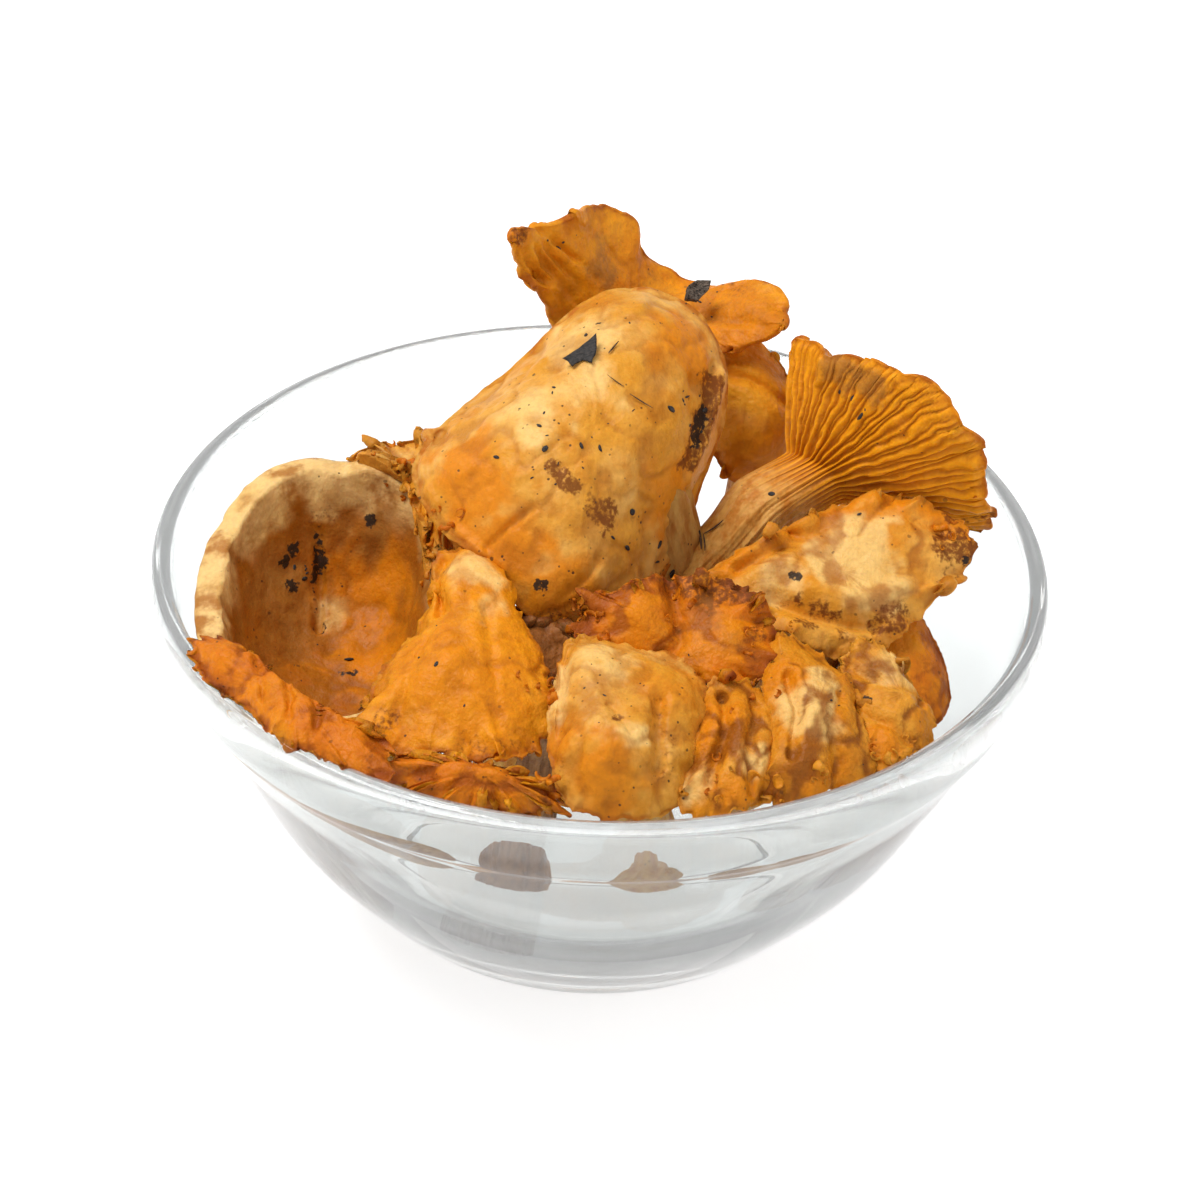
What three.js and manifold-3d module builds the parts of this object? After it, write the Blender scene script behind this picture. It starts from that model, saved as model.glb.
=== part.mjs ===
// A clear glass bowl heaped with chanterelle mushrooms.
//
// Units are millimetres and +Z is up. The origin lies on the bowl's axis, at the
// plane that its foot ring rests on. -Y is the side that faces the viewer.
//
// The bowl is one turned solid. Every mushroom is one grown piece: a stem swept
// along a bent spine that opens into a thin, waved cap. The caps are soft, so where
// two of them touch the later one gives way and keeps a hair of clearance.

import * as THREE from 'three';
import * as BufferGeometryUtils from 'three/addons/utils/BufferGeometryUtils.js';
import Module from 'manifold-3d';

const wasm = await Module();
wasm.setup();

// ---------------------------------------------------------------- driving sizes

// The outside and inside walls are given as [radius, height] points, from the foot
// up to the collar and from the floor up to the lip.
const BOWL = {
  rimRadius: 100,
  height: 87,
  lip: 4.4,
  collarHeight: 15.5,
  collarStep: 1.6,
  collarSlope: 5,
  footRadius: 46,
  footWidth: 4,
  footRecess: 1.2,
  floorThickness: 5.5,
  outsideWall: [[53, 4], [60.5, 12], [74.6, 30], [85.3, 50]],
  insideWall: [[28, 6], [42, 8.2], [57, 16], [71, 32], [82, 50], [92, 70]],
  segments: 48,
};

// Clearance between neighbours, and the extra skin that a neighbour is given
// when it is cut out of the next piece.
const CLEARANCE = 0.6;

// Points round one cap, and the fractions of the way from rim to crown at which
// the two skins of a cap get a ring of points.
const AROUND = 20;
const UPPER_STEPS = [0, 0.12, 0.3, 0.5, 0.7, 0.88];
const GILL_STEPS = [0.02, 0.15, 0.35, 0.58, 0.78];
const STEM_STEPS = 4;

// ---------------------------------------------------------------- finishes

function flesh(colour, roughness = 0.72) {
  return new THREE.MeshStandardMaterial({ color: colour, roughness, metalness: 0 });
}

const FINISH = {
  glass: new THREE.MeshStandardMaterial({
    color: 0xdfe6e2, roughness: 0.04, metalness: 0, transparent: true, opacity: 0.25,
  }),
  creamYellow: flesh(0xe6bf70),
  golden: flesh(0xe39a2b),
  orange: flesh(0xd9801c),
  tan: flesh(0xcf9a58),
  brownFlesh: flesh(0x9c6a3a),
  darkLeaf: flesh(0x241d18, 0.9),
  bark: flesh(0x4a3a2c, 0.95),
};

// ---------------------------------------------------------------- the bowl

/** Points of the glass from the middle of the foot out, over the lip and back in. */
function bowlProfile(b) {
  const collarFoot = b.height - b.collarHeight;
  const neckRadius = b.rimRadius - b.lip;
  const foot = [
    [0, b.footRecess],
    [b.footRadius - b.footWidth, b.footRecess],
    [b.footRadius - b.footWidth / 2, 0],
    [b.footRadius, 0],
  ];
  const collar = [
    [neckRadius, collarFoot - 2],
    [neckRadius + b.collarStep, collarFoot],
    [b.rimRadius - 0.8, collarFoot + b.collarSlope],
    [b.rimRadius, b.height - 2.6],
    [b.rimRadius - 0.8, b.height - 0.7],
  ];
  const lip = [
    [b.rimRadius - b.lip / 2, b.height],
    [neckRadius, b.height - 0.9],
  ];
  return foot.concat(b.outsideWall, collar, lip, innerProfile(b).reverse());
}

/** Points of the inside of the bowl, from the middle of the floor up to the lip. */
function innerProfile(b) {
  const edge = [b.rimRadius - b.lip - 0.4, b.height - 2.6];
  return [[0, b.floorThickness], ...b.insideWall, edge];
}

function turned(points, segments) {
  const outline = points.map(([radius, z]) => new THREE.Vector2(radius, z));
  const geometry = new THREE.LatheGeometry(outline, segments);
  geometry.rotateX(Math.PI / 2);
  return geometry;
}

/** The room that the mushrooms have: the bowl's inside, and all above its lip. */
function roomGeometry(b) {
  const side = innerProfile(b).map(([radius, z], i) => [
    radius - (i > 0 ? CLEARANCE : 0),
    z + (i < 3 ? CLEARANCE : 0),
  ]);
  const above = [
    [b.rimRadius - b.lip - 0.6, b.height + 0.5],
    [b.rimRadius + 8, b.height + 0.6],
    [b.rimRadius + 8, 170],
    [0, 170],
  ];
  return turned(side.concat(above), b.segments);
}

// ---------------------------------------------------------------- solids

function toSolid(geometry) {
  const bare = geometry.clone();
  bare.deleteAttribute('normal');
  bare.deleteAttribute('uv');
  const merged = BufferGeometryUtils.mergeVertices(bare, 1e-4);
  return new wasm.Manifold(new wasm.Mesh({
    numProp: 3,
    vertProperties: new Float32Array(merged.attributes.position.array),
    triVerts: new Uint32Array(merged.index.array),
  }));
}

function toGeometry(solid) {
  const mesh = solid.getMesh();
  const geometry = new THREE.BufferGeometry();
  const positions = new THREE.BufferAttribute(new Float32Array(mesh.vertProperties), 3);
  geometry.setAttribute('position', positions);
  geometry.setIndex(new THREE.BufferAttribute(new Uint32Array(mesh.triVerts), 1));
  geometry.computeVertexNormals();
  return geometry;
}

/** The biggest of the pieces that a cut leaves. */
function mainPiece(solid, name) {
  const pieces = solid.decompose();
  if (pieces.length === 0) {
    throw new Error(`${name} has no room left`);
  }
  return pieces.reduce((best, piece) => (piece.volume() > best.volume() ? piece : best));
}

// ---------------------------------------------------------------- mushrooms

const toVector = ([x, y, z]) => new THREE.Vector3(x, y, z);

/** The normal of a closed run of points, by Newell's sum. */
function loopNormal(points) {
  const normal = new THREE.Vector3();
  points.forEach((a, i) => {
    const b = points[(i + 1) % points.length];
    normal.x += (a.y - b.y) * (a.z + b.z);
    normal.y += (a.z - b.z) * (a.x + b.x);
    normal.z += (a.x - b.x) * (a.y + b.y);
  });
  return normal.normalize();
}

/** The rim as an even run of points, turning left as seen from above the cap. */
function rimPoints(spec, axis) {
  const loop = spec.rim.map(toVector);
  if (loopNormal(loop).dot(axis) < 0) {
    loop.reverse();
  }
  const curve = new THREE.CatmullRomCurve3(loop, true, 'centripetal');
  return curve.getSpacedPoints(AROUND).slice(0, AROUND);
}

/** One ring of the cap's upper skin. The power bends it from cone (1) to dome (2). */
function upperRing(rim, crown, axis, power, step) {
  return rim.map((point) => {
    const reach = point.clone().sub(crown);
    const rise = reach.dot(axis);
    const flat = reach.addScaledVector(axis, -rise);
    return crown.clone()
      .addScaledVector(flat, 1 - step)
      .addScaledVector(axis, rise * (1 - step) ** power);
  });
}

/** The upper skin's normal at each point of a ring, from the ring a little further in. */
function ringNormals(ring, inner) {
  return ring.map((point, i) => {
    const before = ring[(i + ring.length - 1) % ring.length];
    const after = ring[(i + 1) % ring.length];
    const along = after.clone().sub(before);
    const inward = inner[i].clone().sub(point);
    return along.cross(inward).normalize();
  });
}

/** One ring of the gilled underside, a flesh's thickness below the upper skin. */
function gillRing(rim, crown, axis, spec, step) {
  const ring = upperRing(rim, crown, axis, spec.power, step);
  const inner = upperRing(rim, crown, axis, spec.power, step + 0.06);
  const normals = ringNormals(ring, inner);
  const [edge, core] = spec.flesh;
  const depth = edge + (core - edge) * step ** 1.3;
  return ring.map((point, i) => point.addScaledVector(normals[i], -depth));
}

/** Round the rim's edge a little beyond both skins. */
function lipRing(upper, under, axis, crown) {
  return upper.map((point, i) => {
    const middle = point.clone().add(under[i]).multiplyScalar(0.5);
    const outward = middle.clone().sub(crown);
    outward.addScaledVector(axis, -outward.dot(axis)).normalize();
    return middle.addScaledVector(outward, point.distanceTo(under[i]) * 0.35);
  });
}

/** Rings down the stem. Each point keeps the side of the cap that it hangs from. */
function stemRings(spec, crown, axis, above) {
  const spine = spec.stem.map(([x, y, z]) => new THREE.Vector3(x, y, z));
  const radii = spec.stem.map((row) => row[3]);
  const start = crown.clone().addScaledVector(axis, -spec.flesh[1] * 1.2);
  const curve = new THREE.CatmullRomCurve3([start, ...spine], false, 'centripetal');
  const rings = [];
  for (let i = 1; i <= STEM_STEPS; i += 1) {
    const t = i / STEM_STEPS;
    const centre = curve.getPoint(t);
    const tangent = curve.getTangent(t);
    const place = Math.min(t * spine.length, spine.length - 1e-6);
    const row = Math.max(0, Math.ceil(place) - 1);
    const previous = row === 0 ? radii[0] : radii[row - 1];
    const radius = previous + (radii[row] - previous) * (place - row);
    rings.push(stemRing(above, centre, tangent, radius, crown, axis));
  }
  return { rings, base: curve.getPoint(1).addScaledVector(curve.getTangent(1), 1.5) };
}

function stemRing(above, centre, tangent, radius, crown, axis) {
  const turn = new THREE.Quaternion().setFromUnitVectors(axis.clone().negate(), tangent);
  const first = above[0].clone().sub(crown);
  first.addScaledVector(axis, -first.dot(axis)).normalize();
  const second = axis.clone().cross(first);
  const angles = above.map((point) => {
    const reach = point.clone().sub(crown);
    return Math.atan2(reach.dot(second), reach.dot(first));
  });
  const drift = meanDrift(angles);
  return above.map((_, i) => {
    const angle = drift + (2 * Math.PI * i) / above.length;
    const side = first.clone().multiplyScalar(Math.cos(angle));
    side.addScaledVector(second, Math.sin(angle)).applyQuaternion(turn);
    return centre.clone().addScaledVector(side, radius);
  });
}

/** How far, on average, the points' angles lead an even spread. */
function meanDrift(angles) {
  let sine = 0;
  let cosine = 0;
  angles.forEach((angle, i) => {
    const lead = angle - (2 * Math.PI * i) / angles.length;
    sine += Math.sin(lead);
    cosine += Math.cos(lead);
  });
  return Math.atan2(sine, cosine);
}

/** Join rings of equal length, with a point at either end, into one closed skin. */
function closedSkin(first, rings, last) {
  const count = rings[0].length;
  const points = [first, ...rings.flat(), last];
  const index = [];
  const at = (ring, i) => 1 + ring * count + (i % count);
  const end = points.length - 1;
  for (let i = 0; i < count; i += 1) {
    index.push(0, at(0, i), at(0, i + 1));
    index.push(end, at(rings.length - 1, i + 1), at(rings.length - 1, i));
    for (let ring = 0; ring < rings.length - 1; ring += 1) {
      index.push(at(ring, i), at(ring + 1, i), at(ring + 1, i + 1));
      index.push(at(ring, i), at(ring + 1, i + 1), at(ring, i + 1));
    }
  }
  const geometry = new THREE.BufferGeometry();
  geometry.setAttribute('position', new THREE.Float32BufferAttribute(
    points.flatMap((point) => point.toArray()), 3,
  ));
  geometry.setIndex(index);
  return geometry;
}

/** How near a ring comes to the line through the crown along the axis. */
function leastReach(ring, crown, axis) {
  return Math.min(...ring.map((point) => {
    const reach = point.clone().sub(crown);
    return reach.addScaledVector(axis, -reach.dot(axis)).length();
  }));
}

/** A whole mushroom from its rim, crown and stem. */
function mushroom(spec) {
  const crown = toVector(spec.crown);
  const neck = toVector(spec.stem[0]);
  const loop = spec.rim.map(toVector);
  const axis = loopNormal(loop);
  if (axis.dot(crown.clone().sub(neck)) < 0) {
    axis.negate();
  }
  const rim = rimPoints(spec, axis);
  const upper = UPPER_STEPS.map((step) => upperRing(rim, crown, axis, spec.power, step));
  const under = GILL_STEPS
    .map((step) => gillRing(rim, crown, axis, spec, step))
    .filter((ring, i) => i < 2 || leastReach(ring, crown, axis) > spec.stem[0][3]);
  const lip = lipRing(upper[0], under[0], axis, crown);
  const stem = stemRings(spec, crown, axis, under[under.length - 1]);
  const rings = [...upper.slice().reverse(), lip, ...under, ...stem.rings];
  return closedSkin(crown, rings, stem.base);
}

// Each mushroom: its finish, the rim's points in order round the cap, the crown
// (the lowest point of a funnel or the highest of a dome), the dome's power, the
// flesh's thickness at rim and core, and the stem's points with their radii.

const MUSHROOMS = {
  draped_cap_chanterelle: {
    finish: 'creamYellow',
    rim: [
      [-39, 0, 115], [-42, -8, 110], [-36, -18, 105], [-26, -27, 103], [-13, -34, 92],
      [2, -29, 83], [13, -12, 88], [21, 3, 103], [26, 15, 118], [23, 26, 128],
      [9, 33, 137], [-6, 30, 134], [-21, 18, 124],
    ],
    crown: [-4, -13, 126],
    power: 2.3,
    flesh: [4, 10],
    stem: [[0, 0, 102, 9], [8, 2, 84, 8], [10, 8, 60, 8], [6, 16, 34, 7]],
  },
  funnel_chanterelle: {
    finish: 'golden',
    rim: [
      [41, 25, 129], [49, 13, 135], [59, 5, 137], [70, -1, 137], [79, -5, 129],
      [84, -3, 113], [86, 5, 97], [82, 18, 92], [73, 32, 95], [62, 41, 104],
      [50, 38, 117],
    ],
    crown: [47, 13, 104],
    power: 1.25,
    flesh: [3, 6],
    stem: [[37, 6, 99, 8.5], [28, 1, 89, 7.5], [19, -3, 79, 8], [13, -6, 66, 8]],
  },
  horned_chanterelle: {
    finish: 'orange',
    rim: [
      [-23, 34, 148], [-13, 44, 146], [-4, 56, 144], [4, 60, 138], [7, 60, 130],
      [13, 60, 125], [22, 57, 124], [31, 54, 127], [38, 46, 127], [38, 38, 125],
      [29, 35, 122], [18, 40, 122], [4, 41, 131], [-5, 38, 140], [-13, 35, 146],
    ],
    crown: [6, 49, 124],
    power: 1.3,
    flesh: [3, 6],
    stem: [[6, 46, 110, 8], [10, 44, 84, 8], [6, 40, 56, 7], [0, 36, 26, 7]],
  },
  rear_smooth_chanterelle: {
    finish: 'orange',
    rim: [
      [25, 44, 118], [34, 44, 117], [41, 40, 110], [44, 34, 101], [39, 28, 93],
      [30, 26, 91], [24, 29, 98], [21, 38, 109],
    ],
    crown: [35, 28, 108],
    power: 2.2,
    flesh: [3, 8],
    stem: [[34, 37, 92, 6], [34, 42, 70, 7], [30, 34, 42, 6]],
  },
  right_slab_chanterelle: {
    finish: 'tan',
    rim: [
      [24, -20, 97], [33, -14, 99], [44, -8, 100], [54, -2, 102], [66, -1, 103],
      [76, -4, 104], [82, -8, 100], [80, -14, 95], [72, -22, 92], [62, -31, 87],
      [53, -35, 87], [42, -34, 91], [30, -28, 95],
    ],
    crown: [53, -21, 100],
    power: 2.4,
    flesh: [3.5, 8],
    stem: [[52, -14, 86, 8], [46, -8, 66, 7.5], [34, -2, 42, 7]],
  },
  orange_lobe_chanterelle: {
    finish: 'orange',
    rim: [
      [62, -22, 88], [69, -17, 88], [74, -20, 82], [78, -29, 74], [75, -35, 71],
      [67, -40, 72], [59, -36, 77],
    ],
    crown: [70, -29, 82],
    power: 2.2,
    flesh: [3, 7],
    stem: [[62, -22, 72, 6], [52, -14, 58, 6], [44, -8, 40, 6]],
  },
  crest_chanterelle: {
    finish: 'orange',
    rim: [
      [-5, -37, 103], [1, -37, 102], [11, -33, 105], [21, -32, 105], [30, -33, 104],
      [38, -38, 98], [39, -46, 93], [33, -52, 91], [21, -52, 92], [9, -49, 92],
      [-3, -47, 95],
    ],
    crown: [19, -45, 95],
    power: 1.6,
    flesh: [3.5, 7],
    stem: [[18, -36, 84, 8], [16, -26, 64, 7], [12, -14, 40, 7]],
  },
  bulb_chanterelle: {
    finish: 'creamYellow',
    rim: [
      [-6, -47, 96], [4, -45, 96], [15, -48, 95], [24, -57, 91], [22, -69, 86],
      [20, -78, 81], [10, -83, 81], [1, -86, 84], [-6, -83, 85], [-9, -72, 88],
      [-9, -59, 92],
    ],
    crown: [4, -72, 96],
    power: 2.4,
    flesh: [4, 9],
    stem: [[6, -60, 78, 8], [10, -52, 58, 7], [14, -46, 42, 6]],
  },
  frilled_chanterelle: {
    finish: 'golden',
    rim: [
      [24, -54, 92], [33, -52, 92], [40, -58, 88], [41, -66, 84], [38, -76, 80],
      [31, -83, 80], [21, -83, 79], [18, -73, 84], [20, -62, 88],
    ],
    crown: [31, -69, 90],
    power: 2,
    flesh: [2.5, 4.5],
    stem: [[29, -66, 77, 4.5], [26, -54, 66, 5.5], [22, -40, 58, 5]],
  },
  split_chanterelle: {
    finish: 'creamYellow',
    rim: [
      [38, -40, 95], [46, -40, 93], [53, -46, 91], [58, -58, 86], [60, -68, 80],
      [52, -73, 79], [44, -78, 79], [37, -78, 80], [36, -66, 87], [35, -54, 91],
    ],
    crown: [47, -61, 93],
    power: 2.1,
    flesh: [3, 8],
    stem: [[44, -52, 76, 7], [38, -40, 60, 7], [30, -26, 42, 6]],
  },
  curled_chanterelle: {
    finish: 'creamYellow',
    rim: [
      [54, -36, 91], [62, -37, 92], [67, -43, 89], [73, -50, 83], [72, -57, 81],
      [66, -64, 80], [60, -68, 80], [57, -58, 85], [53, -46, 89],
    ],
    crown: [66, -51, 90],
    power: 1.9,
    flesh: [2.5, 5],
    stem: [[60, -46, 78, 5], [50, -34, 62, 5.5], [40, -22, 44, 5.5]],
  },
  cup_chanterelle: {
    finish: 'tan',
    rim: [
      [-82, -27, 86], [-82, -12, 90], [-78, 0, 95], [-70, 8, 99], [-59, 10, 99],
      [-48, 9, 98], [-40, 2, 95], [-37, -12, 93], [-36, -26, 89], [-39, -42, 87],
      [-47, -57, 85], [-58, -64, 85], [-70, -55, 85], [-78, -42, 85],
    ],
    crown: [-56, -20, 63],
    power: 2,
    flesh: [4, 5],
    stem: [[-52, -17, 50, 8], [-44, -12, 36, 8], [-34, -6, 22, 8]],
  },
  gilled_strip_chanterelle: {
    finish: 'orange',
    rim: [
      [-88, -45, 90], [-79, -43, 92], [-68, -50, 92], [-57, -58, 91], [-47, -66, 91],
      [-41, -74, 90], [-42, -86, 88], [-53, -83, 88], [-64, -76, 88], [-74, -64, 88],
      [-84, -54, 88],
    ],
    crown: [-63, -66, 93],
    power: 1.8,
    flesh: [1.8, 2.4],
    stem: [[-62, -64, 82, 3.5], [-58, -58, 72, 4.5], [-50, -50, 62, 4.5]],
  },
  tongue_chanterelle: {
    finish: 'golden',
    rim: [
      [-36, -26, 101], [-29, -23, 104], [-21, -28, 103], [-16, -42, 98], [-9, -56, 91],
      [-10, -68, 86], [-16, -75, 86], [-30, -75, 86], [-41, -73, 85], [-50, -67, 85],
      [-47, -57, 89], [-40, -44, 94], [-36, -34, 97],
    ],
    crown: [-28, -52, 100],
    power: 2.1,
    flesh: [3.5, 8],
    stem: [[-26, -44, 84, 8], [-22, -34, 66, 8], [-16, -22, 40, 8]],
  },
  bottom_frill_chanterelle: {
    finish: 'orange',
    rim: [
      [-43, -74, 84], [-32, -75, 85], [-19, -77, 85], [-11, -80, 86], [-4, -86, 86],
      [-13, -89, 88], [-29, -86, 88], [-40, -82, 86],
    ],
    crown: [-22, -83, 89],
    power: 1.8,
    flesh: [1.5, 1.8],
    stem: [[-22, -81, 80, 2.5], [-21, -72, 72, 4], [-19, -58, 66, 4]],
  },
  ruffled_chanterelle: {
    finish: 'tan',
    rim: [
      [-58, 16, 101], [-52, 20, 102], [-42, 22, 101], [-34, 16, 99], [-29, 2, 96],
      [-30, -10, 94], [-36, -16, 92], [-40, -4, 95], [-48, 10, 100],
    ],
    crown: [-40, 8, 100],
    power: 1.8,
    flesh: [2.5, 4.5],
    stem: [[-39, 10, 86, 5.5], [-34, 16, 62, 6], [-26, 18, 36, 6]],
  },
  deep_stem_chanterelle: {
    finish: 'brownFlesh',
    rim: [
      [-22, -38, 90], [-16, -32, 92], [-8, -32, 91], [0, -36, 88], [2, -42, 85],
      [-6, -46, 84], [-16, -45, 86],
    ],
    crown: [-10, -39, 90],
    power: 2,
    flesh: [3, 6],
    stem: [[-10, -36, 78, 6], [-13, -32, 54, 7], [-16, -30, 26, 8]],
  },
};

// ---------------------------------------------------------------- litter

/** A thin flat scrap with the given corners, laid on a surface with this normal. */
function scrap(corners, thickness, position, normal) {
  const outline = new THREE.Shape(corners.map(([x, y]) => new THREE.Vector2(x, y)));
  const geometry = new THREE.ExtrudeGeometry(outline, {
    depth: thickness, bevelEnabled: false,
  });
  const up = new THREE.Vector3(0, 0, 1);
  const turn = new THREE.Quaternion().setFromUnitVectors(up, toVector(normal).normalize());
  geometry.applyQuaternion(turn);
  geometry.translate(...position);
  return geometry;
}

const LITTER = {
  leaf_scrap: {
    finish: 'darkLeaf',
    corners: [[-4, -1.6], [-0.4, 1.2], [3, 4.2], [3.4, 0.6], [2.2, -2.6], [-2, -3.2]],
    thickness: 0.8,
    position: [-6.2, 5.2, 136.2],
    normal: [-0.1, -0.55, 0.83],
  },
  bark_chip: {
    finish: 'bark',
    corners: [[-2.4, -2.6], [0.6, -2.2], [2.6, 0.4], [2.8, 2.6], [-0.2, 2.4], [-2.2, 0.6]],
    thickness: 1.8,
    position: [18.6, 45, 129.5],
    normal: [0.2, -0.6, 0.7],
  },
};

// ---------------------------------------------------------------- assembly

const group = new THREE.Group();

function addMesh(name, geometry, finish) {
  const mesh = new THREE.Mesh(geometry, FINISH[finish].clone());
  mesh.name = name;
  group.add(mesh);
}

/** Leave a piece only the room that the pieces before it have not taken. */
function settle(name, geometry, taken) {
  let solid = toSolid(geometry).intersect(room);
  taken.forEach((other) => {
    solid = solid.subtract(other);
  });
  return mainPiece(solid, name);
}

/** The same geometry with its skin moved out by a distance. */
function swollen(geometry, distance) {
  const fat = geometry.clone();
  fat.computeVertexNormals();
  const position = fat.attributes.position;
  const normal = fat.attributes.normal;
  for (let i = 0; i < position.count; i += 1) {
    position.setXYZ(
      i,
      position.getX(i) + normal.getX(i) * distance,
      position.getY(i) + normal.getY(i) * distance,
      position.getZ(i) + normal.getZ(i) * distance,
    );
  }
  return fat;
}

const room = toSolid(roomGeometry(BOWL));
addMesh('glass_bowl', turned(bowlProfile(BOWL), BOWL.segments), 'glass');

const taken = [];
Object.entries(MUSHROOMS).forEach(([name, spec]) => {
  const whole = mushroom(spec);
  addMesh(name, toGeometry(settle(name, whole, taken)), spec.finish);
  taken.push(toSolid(swollen(whole, CLEARANCE)));
});
Object.entries(LITTER).forEach(([name, spec]) => {
  const whole = scrap(spec.corners, spec.thickness, spec.position, spec.normal);
  addMesh(name, toGeometry(settle(name, whole, taken)), spec.finish);
});

export default group;
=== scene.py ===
"""Chanterelle mushrooms heaped in a clear glass bowl.

The bowl is a turned glass solid. Each mushroom is one grown skin: a cap that runs
from its rim to its crown, a gilled underside a flesh's thickness below it, and a
stem swept along a bent spine. Folds, gills, frills, stains and litter are laid
over that skin. All lengths in the tables are millimetres.
"""

import logging
import math
from dataclasses import dataclass, field
from enum import Enum
from typing import Any, Sequence

import bpy
import numpy as np
from mathutils import Matrix, Vector
from mathutils.bvhtree import BVHTree


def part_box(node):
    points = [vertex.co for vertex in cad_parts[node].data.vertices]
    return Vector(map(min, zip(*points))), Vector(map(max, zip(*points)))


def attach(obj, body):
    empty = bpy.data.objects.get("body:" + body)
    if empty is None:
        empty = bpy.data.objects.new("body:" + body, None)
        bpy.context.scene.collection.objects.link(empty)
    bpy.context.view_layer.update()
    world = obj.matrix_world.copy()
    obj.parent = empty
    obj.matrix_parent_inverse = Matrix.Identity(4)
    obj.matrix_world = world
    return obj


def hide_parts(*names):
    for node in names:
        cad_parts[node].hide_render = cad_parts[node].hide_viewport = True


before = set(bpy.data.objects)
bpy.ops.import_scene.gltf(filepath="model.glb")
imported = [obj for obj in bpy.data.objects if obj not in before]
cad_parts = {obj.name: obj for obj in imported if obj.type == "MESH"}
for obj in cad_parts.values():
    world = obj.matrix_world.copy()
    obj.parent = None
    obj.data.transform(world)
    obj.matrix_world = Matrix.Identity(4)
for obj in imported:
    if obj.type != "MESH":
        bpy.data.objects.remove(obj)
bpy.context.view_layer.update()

LOG = logging.getLogger("chanterelles")
MM = 0.001
BODY = "root"
TURN = 2.0 * math.pi

Point = tuple[float, float, float]
Colour = tuple[float, float, float]
Profile = tuple[tuple[float, float], ...]
Array = np.ndarray


# ------------------------------------------------------------------ small maths


def smooth(low: float, high: float, value: Array) -> Array:
    """Ease from 0 at low to 1 at high."""
    share = np.clip((value - low) / (high - low), 0.0, 1.0)
    return share * share * (3.0 - 2.0 * share)


def unit(vectors: Array) -> Array:
    """Scale vectors along the last axis to length one."""
    return vectors / np.maximum(np.linalg.norm(vectors, axis=-1, keepdims=True), 1e-12)


class Noise:
    """Smooth repeatable noise in space, between -1 and 1."""

    SIZE = 64

    def __init__(self, seed: int) -> None:
        """Draw the lattice of random values."""
        self.lattice = np.random.default_rng(seed).uniform(-1.0, 1.0, (self.SIZE,) * 3)

    def __call__(self, points: Array, grain: float, octaves: int = 1) -> Array:
        """Noise at each point.

        Args:
            points: Positions, with x, y and z on the last axis.
            grain: Size of the largest lumps, in the points' own unit.
            octaves: How many finer layers are added, each half as big.

        Returns:
            One value for each point.
        """
        total = np.zeros(points.shape[:-1])
        weight = 1.0
        weights = 0.0
        for octave in range(octaves):
            total += weight * self._layer(points * (2.0**octave / grain) + 7.3 * octave)
            weights += weight
            weight *= 0.5
        return total / weights

    def _layer(self, places: Array) -> Array:
        """One layer of the noise, eased between the lattice's corners.

        Args:
            places: Positions in cells of the lattice.

        Returns:
            One value for each place.
        """
        low = np.floor(places).astype(int)
        share = places - low
        share = share * share * (3.0 - 2.0 * share)
        result = np.zeros(places.shape[:-1])
        for corner in range(8):
            step = np.array([corner & 1, corner >> 1 & 1, corner >> 2 & 1])
            weight = np.prod(np.where(step, share, 1.0 - share), axis=-1)
            cell = (low + step) % self.SIZE
            result += weight * self.lattice[cell[..., 0], cell[..., 1], cell[..., 2]]
        return result


def catmull_rom(points: Array, closed: bool, steps: int) -> Array:
    """Dense points on a centripetal Catmull-Rom curve.

    Args:
        points: The curve's own points, one in each row.
        closed: Whether the curve runs back to its start.
        steps: Points made for each span.

    Returns:
        The dense points, one in each row.
    """
    if closed:
        ring = np.vstack([points[-1:], points, points[:2]])
    else:
        ring = np.vstack([2 * points[0] - points[1], points, 2 * points[-1] - points[-2]])
    dense = []
    for i in range(1, len(ring) - 2):
        p0, p1, p2, p3 = ring[i - 1 : i + 3]
        knots = np.cumsum([0.0] + [max(np.linalg.norm(b - a), 1e-9) ** 0.5
                                   for a, b in ((p0, p1), (p1, p2), (p2, p3))])
        t = np.linspace(knots[1], knots[2], steps, endpoint=False)[:, None]
        a1 = _between(p0, p1, knots[0], knots[1], t)
        a2 = _between(p1, p2, knots[1], knots[2], t)
        a3 = _between(p2, p3, knots[2], knots[3], t)
        b1 = _between(a1, a2, knots[0], knots[2], t)
        b2 = _between(a2, a3, knots[1], knots[3], t)
        dense.append(_between(b1, b2, knots[1], knots[2], t))
    if not closed:
        dense.append(points[-1:])
    return np.vstack(dense)


def _between(a: Array, b: Array, start: float, end: float, t: Array) -> Array:
    """The point between a and b for a parameter that runs from start to end."""
    return a + (b - a) * ((t - start) / (end - start))


def even_spread(points: Array, count: int, closed: bool) -> Array:
    """Pick points at equal distances along a dense run of points.

    Args:
        points: The dense points, one in each row.
        count: How many points to pick.
        closed: Whether the run goes back to its start.

    Returns:
        The picked points, one in each row.
    """
    run = np.vstack([points, points[:1]]) if closed else points
    length = np.concatenate([[0.0], np.cumsum(np.linalg.norm(np.diff(run, axis=0), axis=1))])
    places = np.linspace(0.0, length[-1], count, endpoint=not closed)
    return np.stack([np.interp(places, length, run[:, axis]) for axis in range(3)], axis=1)


def loop_normal(points: Array) -> Array:
    """The unit normal of a closed run of points, by Newell's sum.

    Args:
        points: The run, one point in each row.

    Returns:
        The normal.
    """
    after = np.roll(points, -1, axis=0)
    total = np.cross(points, after).sum(axis=0)
    return unit(total)


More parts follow.
